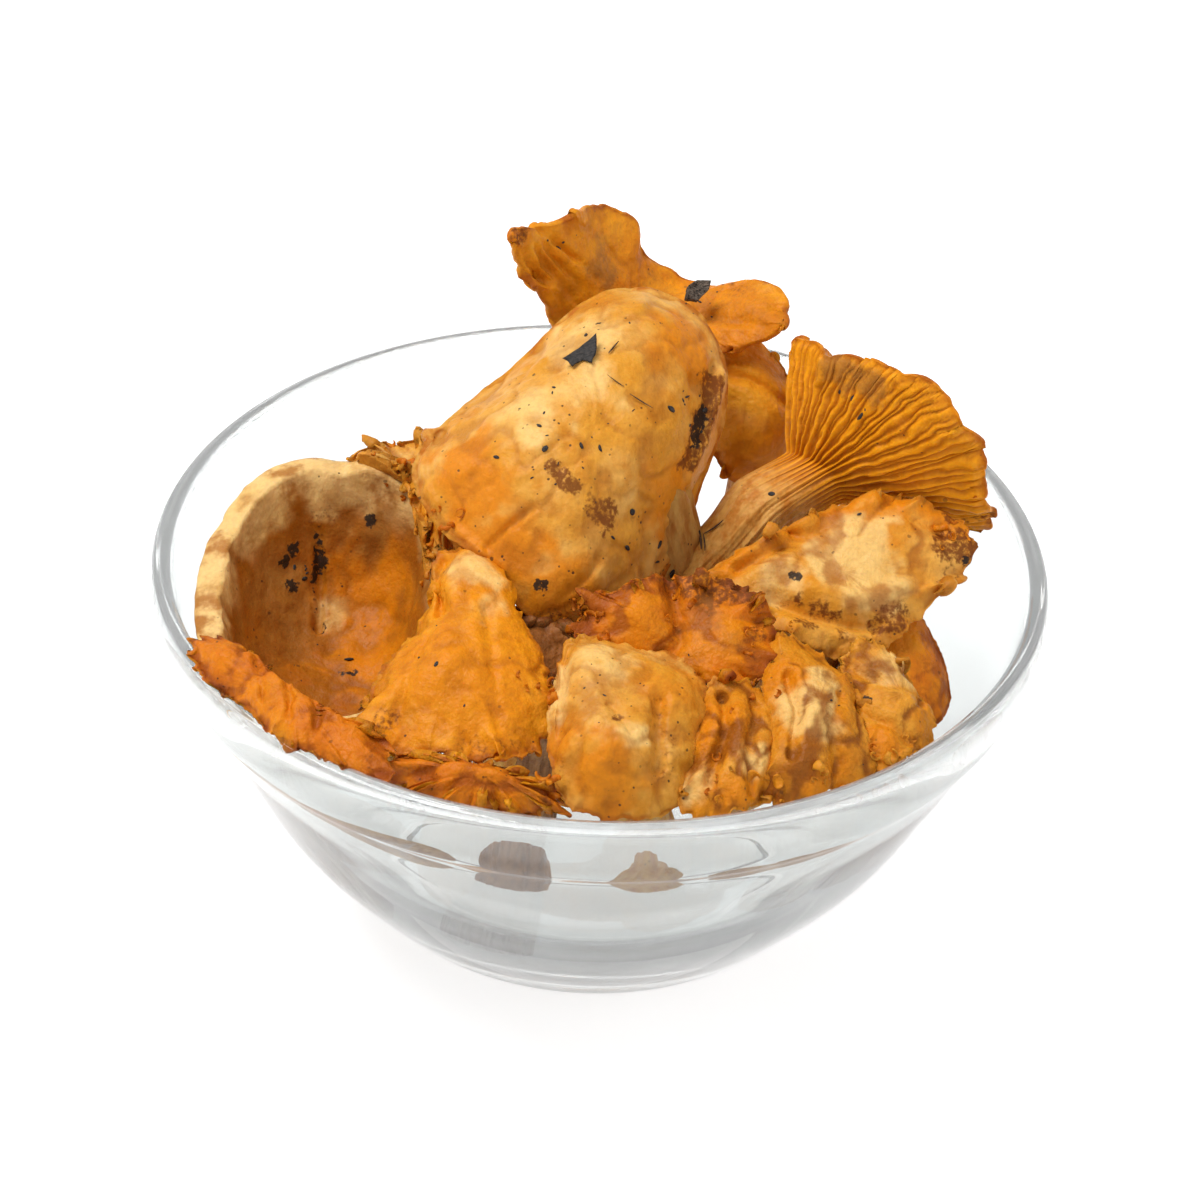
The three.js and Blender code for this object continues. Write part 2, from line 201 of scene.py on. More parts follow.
def distance_to_path(points: Array, path: Array) -> Array:
    """How far each point is from a run of straight spans.

    Args:
        points: Positions, with x, y and z on the last axis.
        path: The spans' ends, one in each row.

    Returns:
        One distance for each point.
    """
    best = np.full(points.shape[:-1], np.inf)
    for a, b in zip(path[:-1], path[1:]):
        span = b - a
        share = np.clip(((points - a) @ span) / max(span @ span, 1e-12), 0.0, 1.0)
        best = np.minimum(best, np.linalg.norm(points - a - share[..., None] * span, axis=-1))
    return best


# ------------------------------------------------------------------ meshes


@dataclass
class Skin:
    """A grid of points, ring by ring, closed by a point at either end.

    Attributes:
        rings: Points of the rings, as ring, place round the ring, axis.
        poles: The two end points.
        masks: What the finish reads at each ring point, by name.
    """

    rings: Array
    poles: tuple[Array, Array]
    masks: dict[str, Array] = field(default_factory=dict)

    def points(self) -> Array:
        """All points: the first pole, the rings, the last pole."""
        return np.vstack([self.poles[0][None], self.rings.reshape(-1, 3), self.poles[1][None]])

    def mask_rows(self, name: str) -> Array:
        """One mask's values in the order of the points.

        Args:
            name: The mask's name.

        Returns:
            The four channels at each point, one point in each row.
        """
        around = self.rings.shape[1]
        flat = self.masks[name].reshape(-1, 4)
        return np.vstack([flat[:around].mean(axis=0), flat, flat[-around:].mean(axis=0)])

    def faces(self, start: int = 0) -> list[tuple[int, ...]]:
        """Quads between the rings and triangles at the ends, numbered from start.

        Args:
            start: Number of the first pole.

        Returns:
            Each face's points by number.
        """
        count, around = self.rings.shape[:2]
        faces: list[tuple[int, ...]] = []
        first = start + 1
        last = first + count * around
        here = np.arange(around)
        after = (here + 1) % around
        for a, b in zip(here.tolist(), after.tolist()):
            faces.append((start, first + a, first + b))
            faces.append((last, last - around + b, last - around + a))
        for ring in range(count - 1):
            low = first + ring * around
            high = low + around
            quads = np.stack([low + here, high + here, high + after, low + after], axis=1)
            faces.extend(map(tuple, quads.tolist()))
        return faces


def make_object(name: str, skins: Sequence[Skin]) -> bpy.types.Object:
    """Make one smooth-shaded mesh object from closed skins, with their masks.

    Args:
        name: The object's name.
        skins: The skins, all with the same masks.

    Returns:
        The new object, in the scene.
    """
    faces: list[tuple[int, ...]] = []
    start = 0
    for skin in skins:
        faces.extend(skin.faces(start))
        start += len(skin.points())
    mesh = bpy.data.meshes.new(name)
    points = np.vstack([skin.points() for skin in skins])
    mesh.from_pydata((points * MM).tolist(), [], faces)
    mesh.shade_smooth()
    for mask in skins[0].masks:
        layer = mesh.attributes.new(mask, "FLOAT_COLOR", "POINT")
        rows = np.vstack([skin.mask_rows(mask) for skin in skins])
        layer.data.foreach_set("color", rows.astype(np.float32).ravel())
    piece = bpy.data.objects.new(name, mesh)
    bpy.context.scene.collection.objects.link(piece)
    return piece


# ------------------------------------------------------------------ shader maths


class Value:
    """A number that varies over a surface, with arithmetic that adds nodes."""

    def __init__(self, tree: "Tree", socket: bpy.types.NodeSocket) -> None:
        """Wrap a socket of a tree."""
        self.tree = tree
        self.socket = socket

    def _math(self, operation: str, first: Any, second: Any = 0.0) -> "Value":
        """Add one Math node."""
        node = self.tree.node("ShaderNodeMath", {"operation": operation}, {0: first, 1: second})
        return Value(self.tree, node.outputs[0])

    def __add__(self, other: Any) -> "Value":
        """Self plus other."""
        return self._math("ADD", self, other)

    __radd__ = __add__

    def __sub__(self, other: Any) -> "Value":
        """Self minus other."""
        return self._math("SUBTRACT", self, other)

    def __rsub__(self, other: Any) -> "Value":
        """Other minus self."""
        return self._math("SUBTRACT", other, self)

    def __mul__(self, other: Any) -> "Value":
        """Self times other."""
        return self._math("MULTIPLY", self, other)

    __rmul__ = __mul__

    def above(self, low: float, high: float) -> "Value":
        """Ease from 0 where self is low to 1 where self is high.

        Args:
            low: The value that gives 0.
            high: The value that gives 1.

        Returns:
            The eased value.
        """
        settings = {"interpolation_type": "SMOOTHSTEP"}
        values = {"Value": self, "From Min": low, "From Max": high}
        node = self.tree.node("ShaderNodeMapRange", settings, values)
        return Value(self.tree, node.outputs["Result"])


class Tree:
    """A node tree, with one way to add a node."""

    def __init__(self, nodes: bpy.types.NodeTree) -> None:
        """Wrap a node tree."""
        self.nodes = nodes

    def node(self, kind: str, settings: dict[str, Any], values: dict[Any, Any]) -> bpy.types.Node:
        """Add a node.

        Args:
            kind: The node's type.
            settings: Properties of the node, or a ramp's stops, set before its sockets.
            values: A number, colour or link for each named or numbered input.

        Returns:
            The new node.
        """
        node = self.nodes.nodes.new(kind)
        for key, value in settings.items():
            if key == "stops":
                self._set_stops(node.color_ramp, value)
            else:
                setattr(node, key, value)
        for key, value in values.items():
            self.feed(node.inputs[key], value)
        return node

    @staticmethod
    def _set_stops(ramp: bpy.types.ColorRamp, stops: Sequence[tuple[float, Colour]]) -> None:
        """Set a ramp's stops.

        Args:
            ramp: The ramp.
            stops: The place and colour of each stop.
        """
        for element, (place, colour) in zip(ramp.elements, stops):
            element.position = place
            element.color = (*colour, 1.0)

    def feed(self, socket: bpy.types.NodeSocket, value: Any) -> None:
        """Link or set one input socket.

        Args:
            socket: The input.
            value: A number, a colour, a value or another node's output.
        """
        if isinstance(value, Value):
            value = value.socket
        if isinstance(value, bpy.types.NodeSocket):
            self.nodes.links.new(value, socket)
        elif isinstance(value, tuple) and socket.type == "RGBA":
            socket.default_value = (*value, 1.0)
        else:
            socket.default_value = value


class Shader(Tree):
    """A material's node tree around one Principled shader."""

    def __init__(self, name: str) -> None:
        """Start a material with a bare Principled shader.

        Args:
            name: The material's name.
        """
        self.material = bpy.data.materials.new(name)
        self.material.use_nodes = True
        super().__init__(self.material.node_tree)
        self.principled = self.nodes.nodes["Principled BSDF"]

    def place(self, stretch: Point = (1.0, 1.0, 1.0)) -> bpy.types.NodeSocket:
        """The position on the piece in metres, stretched along each axis.

        Args:
            stretch: The factor along each axis.

        Returns:
            The vector.
        """
        here = self.node("ShaderNodeTexCoord", {}, {}).outputs["Object"]
        if stretch == (1.0, 1.0, 1.0):
            return here
        scaled = self.node("ShaderNodeVectorMath", {"operation": "MULTIPLY"}, {0: here, 1: stretch})
        return scaled.outputs[0]

    def noise(self, grain: float, detail: float = 3.0, rough: float = 0.55,
              stretch: Point = (1.0, 1.0, 1.0)) -> Value:
        """Cloudy noise between 0 and 1 whose lumps are grain millimetres across.

        Args:
            grain: Size of the lumps, in millimetres.
            detail: How many finer layers it has.
            rough: How strong the finer layers are.
            stretch: A factor along each axis.

        Returns:
            The noise.
        """
        values = {"Vector": self.place(stretch), "Scale": 1.0 / (grain * MM),
                  "Detail": detail, "Roughness": rough}
        return Value(self, self.node("ShaderNodeTexNoise", {}, values).outputs["Fac"])

    def cells(self, grain: float) -> Value:
        """Distance to the nearest of scattered points, in cells of grain millimetres."""
        values = {"Vector": self.place(), "Scale": 1.0 / (grain * MM), "Randomness": 1.0}
        return Value(self, self.node("ShaderNodeTexVoronoi", {}, values).outputs["Distance"])

    def masks(self, name: str) -> tuple[Value, Value, Value, Value]:
        """The four channels that the mesh holds under a name.

        Args:
            name: The mask's name.

        Returns:
            The channels, in order.
        """
        source = self.node("ShaderNodeAttribute", {"attribute_name": name}, {})
        parts = self.node("ShaderNodeSeparateColor", {}, {0: source.outputs["Color"]})
        red, green, blue = (Value(self, socket) for socket in parts.outputs)
        return red, green, blue, Value(self, source.outputs["Alpha"])

    def blend(self, share: Any, first: Any, second: Any) -> bpy.types.NodeSocket:
        """A colour that goes from first to second as share goes from 0 to 1.

        Args:
            share: The share of the second colour.
            first: A colour or a link.
            second: A colour or a link.

        Returns:
            The blended colour.
        """
        node = self.node("ShaderNodeMix", {"data_type": "RGBA"}, {})
        self.feed(node.inputs["Factor"], share)
        for socket, value in ((node.inputs[6], first), (node.inputs[7], second)):
            self.feed(socket, value)
        return node.outputs[2]

    def bump(self, height: Value, depth: float) -> bpy.types.NodeSocket:
        """A normal from a height of 0 to 1, depth millimetres deep."""
        values = {"Strength": 1.0, "Distance": depth * MM, "Height": height}
        return self.node("ShaderNodeBump", {}, values).outputs["Normal"]

    def finish(self, **inputs: Any) -> bpy.types.Material:
        """Feed the Principled shader's inputs, underscores standing for blanks.

        Args:
            inputs: A number, colour or link for each input.

        Returns:
            The finished material.
        """
        for key, value in inputs.items():
            self.feed(self.principled.inputs[key.replace("_", " ")], value)
        return self.material


# ------------------------------------------------------------------ finishes


@dataclass(frozen=True)
class FleshFinish:
    """The look of one mushroom's skin, gills and stem.

    Attributes:
        name: The material's name.
        pale: The lightest patches of the cap.
        body: The cap's usual colour.
        deep: The most saturated patches of the cap.
        gill: The crests of the gills.
        shaded_dip: Painted shade in the dips between the gills, between the cap's lumps and between
            the stem's fibres.
        stem: The stem's colour.
        margin: The dried edge of the cap.
        mottle: How much of the cap the pale patches take, from 0 to 1.
        dip_shading: How strongly the dips between lumps get painted shade, from 0 to 1.
        dirt: How thickly dark specks lie, from 0 to 1.
        relief: Depth of the fine grain, in millimetres.
    """

    name: str
    pale: Colour
    body: Colour
    deep: Colour
    gill: Colour
    shaded_dip: Colour
    stem: Colour
    margin: Colour
    mottle: float = 0.5
    dip_shading: float = 0.6
    dirt: float = 0.5
    relief: float = 1.0

    BROWN = (0.17, 0.042, 0.005)
    BRUISE = (0.36, 0.14, 0.022)
    CREAM = (0.84, 0.54, 0.18)
    ORANGE = (0.68, 0.21, 0.003)
    SOIL = (0.022, 0.014, 0.01)

    # Sizes of the noise's lumps and the spacing of the specks, in millimetres.
    CLOUD_SIZE = 17.0
    PATCH_SIZE = 6.0
    FIBRE_SIZE = 2.6
    GRAIN_SIZE = 1.1
    SMALL_SPECKS = 2.2
    LARGE_SPECKS = 8.5

    def material(self) -> bpy.types.Material:
        """Build the procedural material.

        Returns:
            The material.
        """
        shader = Shader(self.name)
        margin, ridge, cap, stalk = shader.masks("growth")
        brown, bruise, cream, orange = shader.masks("stains")
        soil = shader.masks("spots")[0]
        clouds = shader.noise(self.CLOUD_SIZE, detail=5.0)
        patches = shader.noise(self.PATCH_SIZE, detail=4.0)
        grain = shader.noise(self.GRAIN_SIZE, detail=3.0)
        fibre = shader.noise(self.FIBRE_SIZE, detail=3.0, stretch=(1.0, 1.0, 0.22))

        low = 0.62 - 0.3 * self.mottle
        skin = shader.blend(clouds.above(low - 0.1, low + 0.3), self.body, self.pale)
        skin = shader.blend(patches.above(0.4, 0.85) * 0.8, skin, self.deep)
        orange = (orange * clouds * 2.0).above(0.15, 0.95)
        cream = (cream * patches * 2.0).above(0.2, 0.95)
        skin = shader.blend(orange * 0.9, skin, self.ORANGE)
        skin = shader.blend(cream * 0.85, skin, self.CREAM)
        # Painted shade: the dips between the cap's lumps are darkened towards the shaded dip
        # colour.
        skin = shader.blend((1.0 - ridge).above(0.35, 1.0) * self.dip_shading, skin, self.shaded_dip)

        # Painted shade: the dips between the gills take the shaded dip colour.
        gills = shader.blend(ridge, self.shaded_dip, self.gill)
        flesh = shader.blend(cap, gills, skin)
        # The stem's fibre streaks take the shaded dip colour in their grooves: painted shade.
        stem = shader.blend(fibre.above(0.3, 0.6) * 0.75 + 0.25, self.shaded_dip, self.stem)
        flesh = shader.blend(stalk * 0.9, flesh, stem)

        dried = margin * (patches.above(0.38, 0.6) * 0.85 + 0.15)
        flesh = shader.blend(dried, flesh, self.margin)
        flesh = shader.blend((grain - 0.5) * 0.5 + 0.04, flesh, self.BROWN)
        brown = (brown * (patches + grain * 2.3)).above(1.1, 1.75)
        flesh = shader.blend(brown * 0.9, flesh, self.BROWN)
        bruise = (bruise * (patches * 1.6 + grain * 1.0)).above(0.4, 1.5)
        flesh = shader.blend(bruise * 0.8, flesh, self.BRUISE)
        flesh = shader.blend(self._soil(shader, patches, grain), flesh, self.SOIL)
        black = (soil * (patches + grain * 2.2)).above(1.1, 1.4)
        flesh = shader.blend(black * 0.95, flesh, self.SOIL)

        height = grain * 0.35 + fibre * 0.5 + patches * 0.4
        return shader.finish(
            Base_Color=flesh,
            Roughness=0.3 + 0.32 * patches + 0.15 * brown,
            Normal=shader.bump(height, self.relief),
            Subsurface_Weight=0.12,
            Subsurface_Radius=(0.9, 0.45, 0.15),
            Subsurface_Scale=0.0035,
            Specular_IOR_Level=0.16,
        )

    def _soil(self, shader: Shader, patches: Value, grain: Value) -> Value:
        """Dark specks of soil in two sizes, thicker in some patches than in others.

        Args:
            shader: The material's tree.
            patches: Slow noise that gathers the small specks.
            grain: Fine noise that makes the specks ragged.

        Returns:
            The cover of soil, from 0 to 1.
        """
        ragged = (grain - 0.5) * 0.3
        small = 1.0 - (shader.cells(self.SMALL_SPECKS) + ragged).above(0.08, 0.15)
        large = 1.0 - (shader.cells(self.LARGE_SPECKS) + ragged * 0.5).above(0.035, 0.06)
        thick = patches.above(0.6 - 0.2 * self.dirt, 0.74 - 0.2 * self.dirt)
        return (small * thick + large * (0.35 + 0.6 * self.dirt)) * 0.85


@dataclass(frozen=True)
class GlassFinish:
    """Clear polished glass with a faint green-grey tint; body is how much it bends light."""

    name: str = "clear_bowl_glass"
    tint: Colour = (0.8, 0.83, 0.825)
    bend: float = 1.42
    body: float = 0.9

    def material(self) -> bpy.types.Material:
        """Build the glass.

        Returns:
            The material.
        """
        shader = Shader(self.name)
        return shader.finish(
            Base_Color=self.tint, Roughness=0.0, IOR=self.bend, Transmission_Weight=1.0,
            Alpha=self.body,
        )


@dataclass(frozen=True)
class LitterFinish:
    """Leaf, bark or crumb: two tones in a rough grain."""

    name: str
    dark: Colour
    light: Colour
    grain: float
    roughness: float = 0.85

    def material(self) -> bpy.types.Material:
        """Build the procedural material.

        Returns:
            The material.
        """
        shader = Shader(self.name)
        fibres = shader.noise(self.grain, detail=4.0, stretch=(1.0, 3.0, 1.0))
        return shader.finish(
            Base_Color=shader.blend(fibres.above(0.35, 0.7), self.dark, self.light),
            Roughness=self.roughness,
            Normal=shader.bump(fibres, 0.4),
        )


CREAM_FLESH = FleshFinish(
    "cream_yellow_flesh", pale=(0.79, 0.45, 0.12), body=(0.68, 0.29, 0.025),
    deep=(0.6, 0.2, 0.006), gill=(0.66, 0.3, 0.03), shaded_dip=(0.36, 0.1, 0.006),
    stem=(0.6, 0.34, 0.09), margin=(0.45, 0.13, 0.008), mottle=0.5, dip_shading=0.45, dirt=0.85,
    relief=0.7,
)
CRUSTY_FLESH = FleshFinish(
    "crusty_cream_flesh", pale=(0.78, 0.38, 0.05), body=(0.64, 0.22, 0.006),
    deep=(0.52, 0.14, 0.003), gill=(0.64, 0.26, 0.02), shaded_dip=(0.24, 0.06, 0.004),
    stem=(0.6, 0.32, 0.08), margin=(0.58, 0.2, 0.012), mottle=0.5, dip_shading=0.85, dirt=0.35,
    relief=1.3,
)
GOLDEN_FLESH = FleshFinish(
    "golden_flesh", pale=(0.82, 0.36, 0.02), body=(0.76, 0.26, 0.004),
    deep=(0.6, 0.16, 0.003), gill=(0.86, 0.33, 0.006), shaded_dip=(0.46, 0.13, 0.003),
    stem=(0.7, 0.37, 0.09), margin=(0.42, 0.11, 0.005), mottle=0.4, dip_shading=0.5, dirt=0.3,
    relief=0.9,
)
ORANGE_FLESH = FleshFinish(
    "orange_flesh", pale=(0.78, 0.29, 0.008), body=(0.64, 0.17, 0.003),
    deep=(0.44, 0.09, 0.002), gill=(0.82, 0.32, 0.008), shaded_dip=(0.28, 0.055, 0.003),
    stem=(0.62, 0.26, 0.03), margin=(0.24, 0.045, 0.003), mottle=0.35, dip_shading=0.75, dirt=0.35,
    relief=1.1,
)
TAN_FLESH = FleshFinish(
    "tan_flesh", pale=(0.79, 0.41, 0.08), body=(0.7, 0.28, 0.018),
    deep=(0.6, 0.18, 0.004), gill=(0.68, 0.3, 0.03), shaded_dip=(0.34, 0.09, 0.006),
    stem=(0.58, 0.32, 0.09), margin=(0.55, 0.19, 0.012), mottle=0.5, dip_shading=0.7, dirt=0.4,
    relief=0.9,
)
# The cup's flesh: partly its own tan-brown, partly painted shade that darkens the hollow inside its
# cream rim.
SHADED_HOLLOW_FLESH = FleshFinish(
    "shaded_hollow_cup_flesh", pale=(0.36, 0.16, 0.03), body=(0.36, 0.11, 0.005),
    deep=(0.44, 0.11, 0.003), gill=(0.72, 0.4, 0.11), shaded_dip=(0.24, 0.07, 0.008),
    stem=(0.64, 0.38, 0.13), margin=(0.82, 0.53, 0.2), mottle=0.4, dip_shading=0.4, dirt=0.45,
    relief=0.7,
)
# A darker copy of the pale flesh for the stem deep in the gap between the caps: painted shade.
SHADOWED_STEM_FLESH = FleshFinish(
    "brown_flesh", pale=(0.42, 0.2, 0.07), body=(0.34, 0.12, 0.025),
    deep=(0.24, 0.07, 0.01), gill=(0.38, 0.16, 0.04), shaded_dip=(0.11, 0.035, 0.008),
    stem=(0.4, 0.2, 0.08), margin=(0.19, 0.055, 0.01), mottle=0.4, dip_shading=0.8, dirt=0.6,
    relief=1.2,
)
LEAF = LitterFinish("black_leaf", (0.008, 0.007, 0.007), (0.045, 0.035, 0.03), 0.9, 0.6)
BARK = LitterFinish("grey_bark", (0.02, 0.014, 0.01), (0.2, 0.15, 0.11), 0.7)
NEEDLE = LitterFinish("brown_needle", (0.03, 0.015, 0.008), (0.14, 0.07, 0.03), 0.6)
GLASS = GlassFinish()


# ------------------------------------------------------------------ mushrooms


class StainKind(Enum):
    """The channels of the stain masks."""

    BROWN = 0
    BRUISE = 1
    CREAM = 2
    ORANGE = 3
    SOIL = 4


@dataclass(frozen=True)
class Stain:
    """A soft-edged patch of colour round a point, or drawn out as far as a second one."""

    kind: StainKind
    at: Point
    radius: float
    strength: float = 1.0
    to: Point | None = None


@dataclass(frozen=True)
class Swell:
    """A bulge (or, with a negative height, a hollow) round a point of the cap."""

    at: Point
    radius: float
    height: float


@dataclass(frozen=True)
class Crease:
    """A groove (or, with a negative depth, a ridge) along a run of points."""

    path: tuple[Point, ...]
    width: float
    depth: float


@dataclass
class Chanterelle:
    """One mushroom, grown as a single skin.

    Attributes:
        node: The CAD node that it stands for.
        slot: The record's material slot; not used.
        finish: Its look.
        rim: The cap's edge, as points in order round it.
        crown: The bottom of a funnel or the top of a dome.
        power: Bends the cap from a cone (1) to a bowl or dome (2 and more).
        flesh: The cap's thickness at its rim and at its core.
        stem: Points down the stem, each with its radius.
        frill: Height of the waves along the rim.
        waves: How many waves run round the rim, about.
        frill_depth: The share of the way to the crown that the waves reach.
        fray: Length of the tears along the rim.
        crumple: Height of the lumps all over the cap.
        gills: Number of gills at the neck, or 0 for a smooth underside.
        gill_height: Height of the gills.
        dried: The share of the way to the crown that the dried edge reaches.
        swells: Bulges and hollows of the cap.
        creases: Grooves and ridges of the cap.
        stains: Patches of colour.
        around: Points round each ring.
        seed: Start of its own random draws.
    """

    node: str
    slot: str
    finish: FleshFinish
    rim: Sequence[Point]
    crown: Point
    power: float
    flesh: tuple[float, float]
    stem: Sequence[tuple[float, float, float, float]]
    frill: float = 1.2
    waves: float = 7.0
    frill_depth: float = 0.3
    fray: float = 0.8
    crumple: float = 0.6
    gills: int = 0
    gill_height: float = 0.0
    dried: float = 0.05
    swells: Sequence[Swell] = ()
    creases: Sequence[Crease] = ()
    stains: Sequence[Stain] = ()
    around: int = 360
    seed: int = 1

    UPPER_RINGS = 60
    GILL_RINGS = 44
    LIP_RINGS = 5
    NECK_RINGS = 10
    STEM_RINGS = 26
    NECK_SHARE = 0.2
    GILL_END = 0.78

    def __post_init__(self) -> None:
        """Work out the cap's axis and rim, and the turn of each point round a ring."""
        self.noise = Noise(self.seed)
        self.top = np.array(self.crown, float)
        self.axis, self.edge = self._axis_and_edge()
        self.turns = np.arange(self.around) / self.around
        self.circle = np.stack([np.cos(TURN * self.turns), np.sin(TURN * self.turns),
                                np.zeros(self.around)], axis=1)

    def build(self) -> bpy.types.Object:
        """Grow the skin and make its object.

        Returns:
            The mushroom, on the CAD body and in place of its node.
        """
        upper_steps = np.linspace(0.0, 0.985, self.UPPER_RINGS) ** 1.15
        gill_steps = np.linspace(0.0, self.GILL_END, self.GILL_RINGS)
        upper = self._sheet(upper_steps)
        facing = self._facing(upper, upper_steps)
        under, ridges = self._underside(gill_steps)
        lip = self._lip(upper[0], under[0], facing[0])
        neck, stem, base = self._stem_rings(under)
        relief = self._skin_relief(upper)
        upper = upper + facing * relief[..., None]

        rings = np.concatenate([upper[::-1], lip, under, neck, stem])
        growth = self._growth(upper_steps, gill_steps, ridges, len(neck), len(stem))
        # The crest mask decides where the cap's dips get painted shade.
        growth[: self.UPPER_RINGS, :, 1] = self._cap_crests(relief, upper_steps)[::-1]
        skin = Skin(rings, (upper[-1].mean(axis=0), base), {"growth": growth})
        stains = self._stain_masks(rings)
        skin.masks["stains"], skin.masks["spots"] = stains[..., :4], stains[..., 4:]
        piece = make_object(self.node.replace("chanterelle", "mushroom"), [skin])
        self.dress(piece)
        return piece

    def dress(self, piece: bpy.types.Object) -> None:
        """Give the piece its finish and its place in the frame.

        Args:
            piece: The mushroom.
        """
        piece.data.materials.append(self.finish.material())
        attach(piece, BODY)
        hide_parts(self.node)

    def _axis_and_edge(self) -> tuple[Array, Array]:
        """The cap's axis, away from the stem, and its rim as even points.

        Returns:
            The axis, and the rim's points, one in each row.
        """
        loop = np.array(self.rim, float)
        neck = np.array(self.stem[0][:3], float)
        axis = loop_normal(loop)
        if axis @ (self.top - neck) < 0:
            axis = -axis
            loop = loop[::-1]
        return axis, even_spread(catmull_rom(loop, True, 24), self.around, True)

    def _sheet(self, steps: Array) -> Array:
        """The cap's upper skin, one ring for each step from rim to crown.

        Args:
            steps: How far in each ring lies, from 0 at the rim to 1 at the crown.

        Returns:
            Points, as ring, place round the ring, axis.
        """
        out = 1.0 - steps[:, None, None]
        reach = self.edge - self.top
        rise = (reach @ self.axis)[None, :, None]
        flat = (reach - np.outer(reach @ self.axis, self.axis))[None]
        tear = 1.0 + self._tears()[None, :, None] * out**14
        sheet = self.top + flat * out * tear + self.axis * rise * np.abs(out) ** self.power
        height = 0.0 * out[..., 0]
        for swell in self.swells:
            gap = np.linalg.norm(sheet - np.array(swell.at), axis=-1)
            height = height + swell.height * np.exp(-((gap / swell.radius) ** 2))
        for crease in self.creases:
            gap = distance_to_path(sheet, np.array(crease.path, float))
            height = height - crease.depth * np.exp(-((gap / crease.width) ** 2))
        height = height + self.crumple * 2.0 * self.noise(sheet + 31.0, 13.0, 2)
        return sheet + self.axis * height[..., None] + self._ruffles(out[..., 0])

    def _ruffles(self, out: Array) -> Array:
        """Waves that grow towards the rim and lean over at their tops.

        Args:
            out: How far out each ring lies, from 0 at the crown to 1 at the rim.

        Returns:
            The shift of each point of the sheet.
        """
        grow = smooth(1.0 - self.frill_depth, 1.0, out)[..., None] ** 0.9
        along = unit(np.roll(self.edge, -1, axis=0) - np.roll(self.edge, 1, axis=0))[None]
        wander = 2.4 * self.noise(self.circle * 2.2, 1.0, 2) + 0.5 * out
        phase = TURN * round(self.waves) * self.turns + wander
        size = self.frill * (0.9 + 0.9 * self.noise(self.circle * 3.0 + 4.0, 1.0))
        fine = np.sin(TURN * round(self.waves * 2.7) * self.turns + 2.0 * wander)
        lift = (np.sin(phase) + 0.22 * fine) * size
        lean = (0.5 * np.sin(2.0 * phase) + 0.15 * fine) * size
        return grow * (self.axis * lift[..., None] + along * lean[..., None] * grow)

    def _tears(self) -> Array:
        """How much the rim is drawn in or out, as a share of its reach.

        Returns:
            One share for each point of the rim.
        """
        span = np.linalg.norm(self.edge - self.top, axis=1).mean()
        coarse = self.noise(self.circle * 9.0, 1.0, 2)
        fine = self.noise(self.circle * 22.0 + 5.0, 1.0, 2)
        return self.fray * (1.1 * coarse + 0.5 * fine - 0.3) / span

    def _facing(self, sheet: Array, steps: Array) -> Array:
        """Unit normals of a sheet of rings, on the side away from the stem.

        Args:
            sheet: Points, as ring, place round the ring, axis.
            steps: How far in each ring lies.

        Returns:
            One normal for each point.
        """
        along = np.roll(sheet, -1, axis=1) - np.roll(sheet, 1, axis=1)
        inward = np.gradient(sheet, steps, axis=0)
        return unit(np.cross(along, inward))

    def _skin_relief(self, upper: Array) -> Array:
        """Fine lumps and wrinkles of the upper skin, in millimetres.

        Args:
            upper: Points of the upper skin.

        Returns:
            The height at each point.
        """
        lumps = self.noise(upper, 5.0, 3)
        folds = 1.0 - np.abs(self.noise(upper + 70.0, 9.0, 2)) * 4.0
        pits = self.noise(upper + 50.0, 1.8, 2)
        return self.crumple * (0.75 * lumps - 0.6 * np.maximum(folds, 0.0) + 0.25 * pits)

    def _cap_crests(self, relief: Array, steps: Array) -> Array:
        """The mask of the cap's crests, streaked from the rim to the crown.

        Args:
            relief: Height of the skin's fine lumps, in millimetres.
            steps: How far in each ring lies, from 0 at the rim to 1 at the crown.

        Returns:
            0 in the dips and 1 on the crests.
        """
        crests = smooth(-0.85, 0.25, relief / max(self.crumple, 1e-3))
        streaks = np.broadcast_to(self.circle * 15.0, (*relief.shape, 3)).copy()
        streaks[..., 2] = steps[:, None] * 2.5
        crests = crests * (0.82 + 0.36 * self.noise(streaks, 1.0, 2))
        return np.clip(crests, 0.0, 1.0)

    def _underside(self, steps: Array) -> tuple[Array, Array]:
        """The gilled side, and the height of the gills from 0 to 1.

        Args:
            steps: How far in each ring lies.

        Returns:
            The underside's points, and the gills' height at each.
        """
        sheet = self._sheet(steps)
        facing = self._facing(sheet, steps)
        edge, core = self.flesh
        depth = edge + (core - edge) * steps**1.3
        ridges = self._gill_pattern(steps)
        relief = self.gill_height * ridges * smooth(0.0, 0.06, steps)[:, None]
        relief = relief + 0.25 * self.noise(sheet + 77.0, 2.5, 2)
        return sheet - facing * (depth[:, None] + relief)[..., None], ridges

    def _gill_pattern(self, steps: Array) -> Array:
        """Crests that run in from the rim and join two by two towards the neck.

        Args:
            steps: How far in each ring lies.

        Returns:
            The height of the crests, from 0 to 1.
        """
        if not self.gills:
            return 0.6 + 0.4 * self.noise(self._sheet(steps), 3.0, 2)
        places = np.broadcast_to(self.circle, (len(steps), self.around, 3)).copy()
        places[..., 2] = steps[:, None] * 1.2
        wander = 0.35 * self.noise(places * 5.0, 1.0, 2) + 0.16 * self.noise(places * 14.0, 1.0)
        turn = self.turns[None] * self.gills + wander
        forks = self.noise(places * 6.0 + 3.0, 1.0) * 0.14
        few = self._crests(turn)
        more = self._crests(turn * 2) * smooth(0.62, 0.38, steps[:, None] + forks)
        many = self._crests(turn * 4) * smooth(0.3, 0.12, steps[:, None] + forks)
        return np.maximum(few, np.maximum(more * 0.9, many * 0.75))

    @staticmethod
    def _crests(turn: Array) -> Array:
        """Rounded crests, one for each whole turn."""
        return (0.5 + 0.5 * np.cos(TURN * turn)) ** 1.6

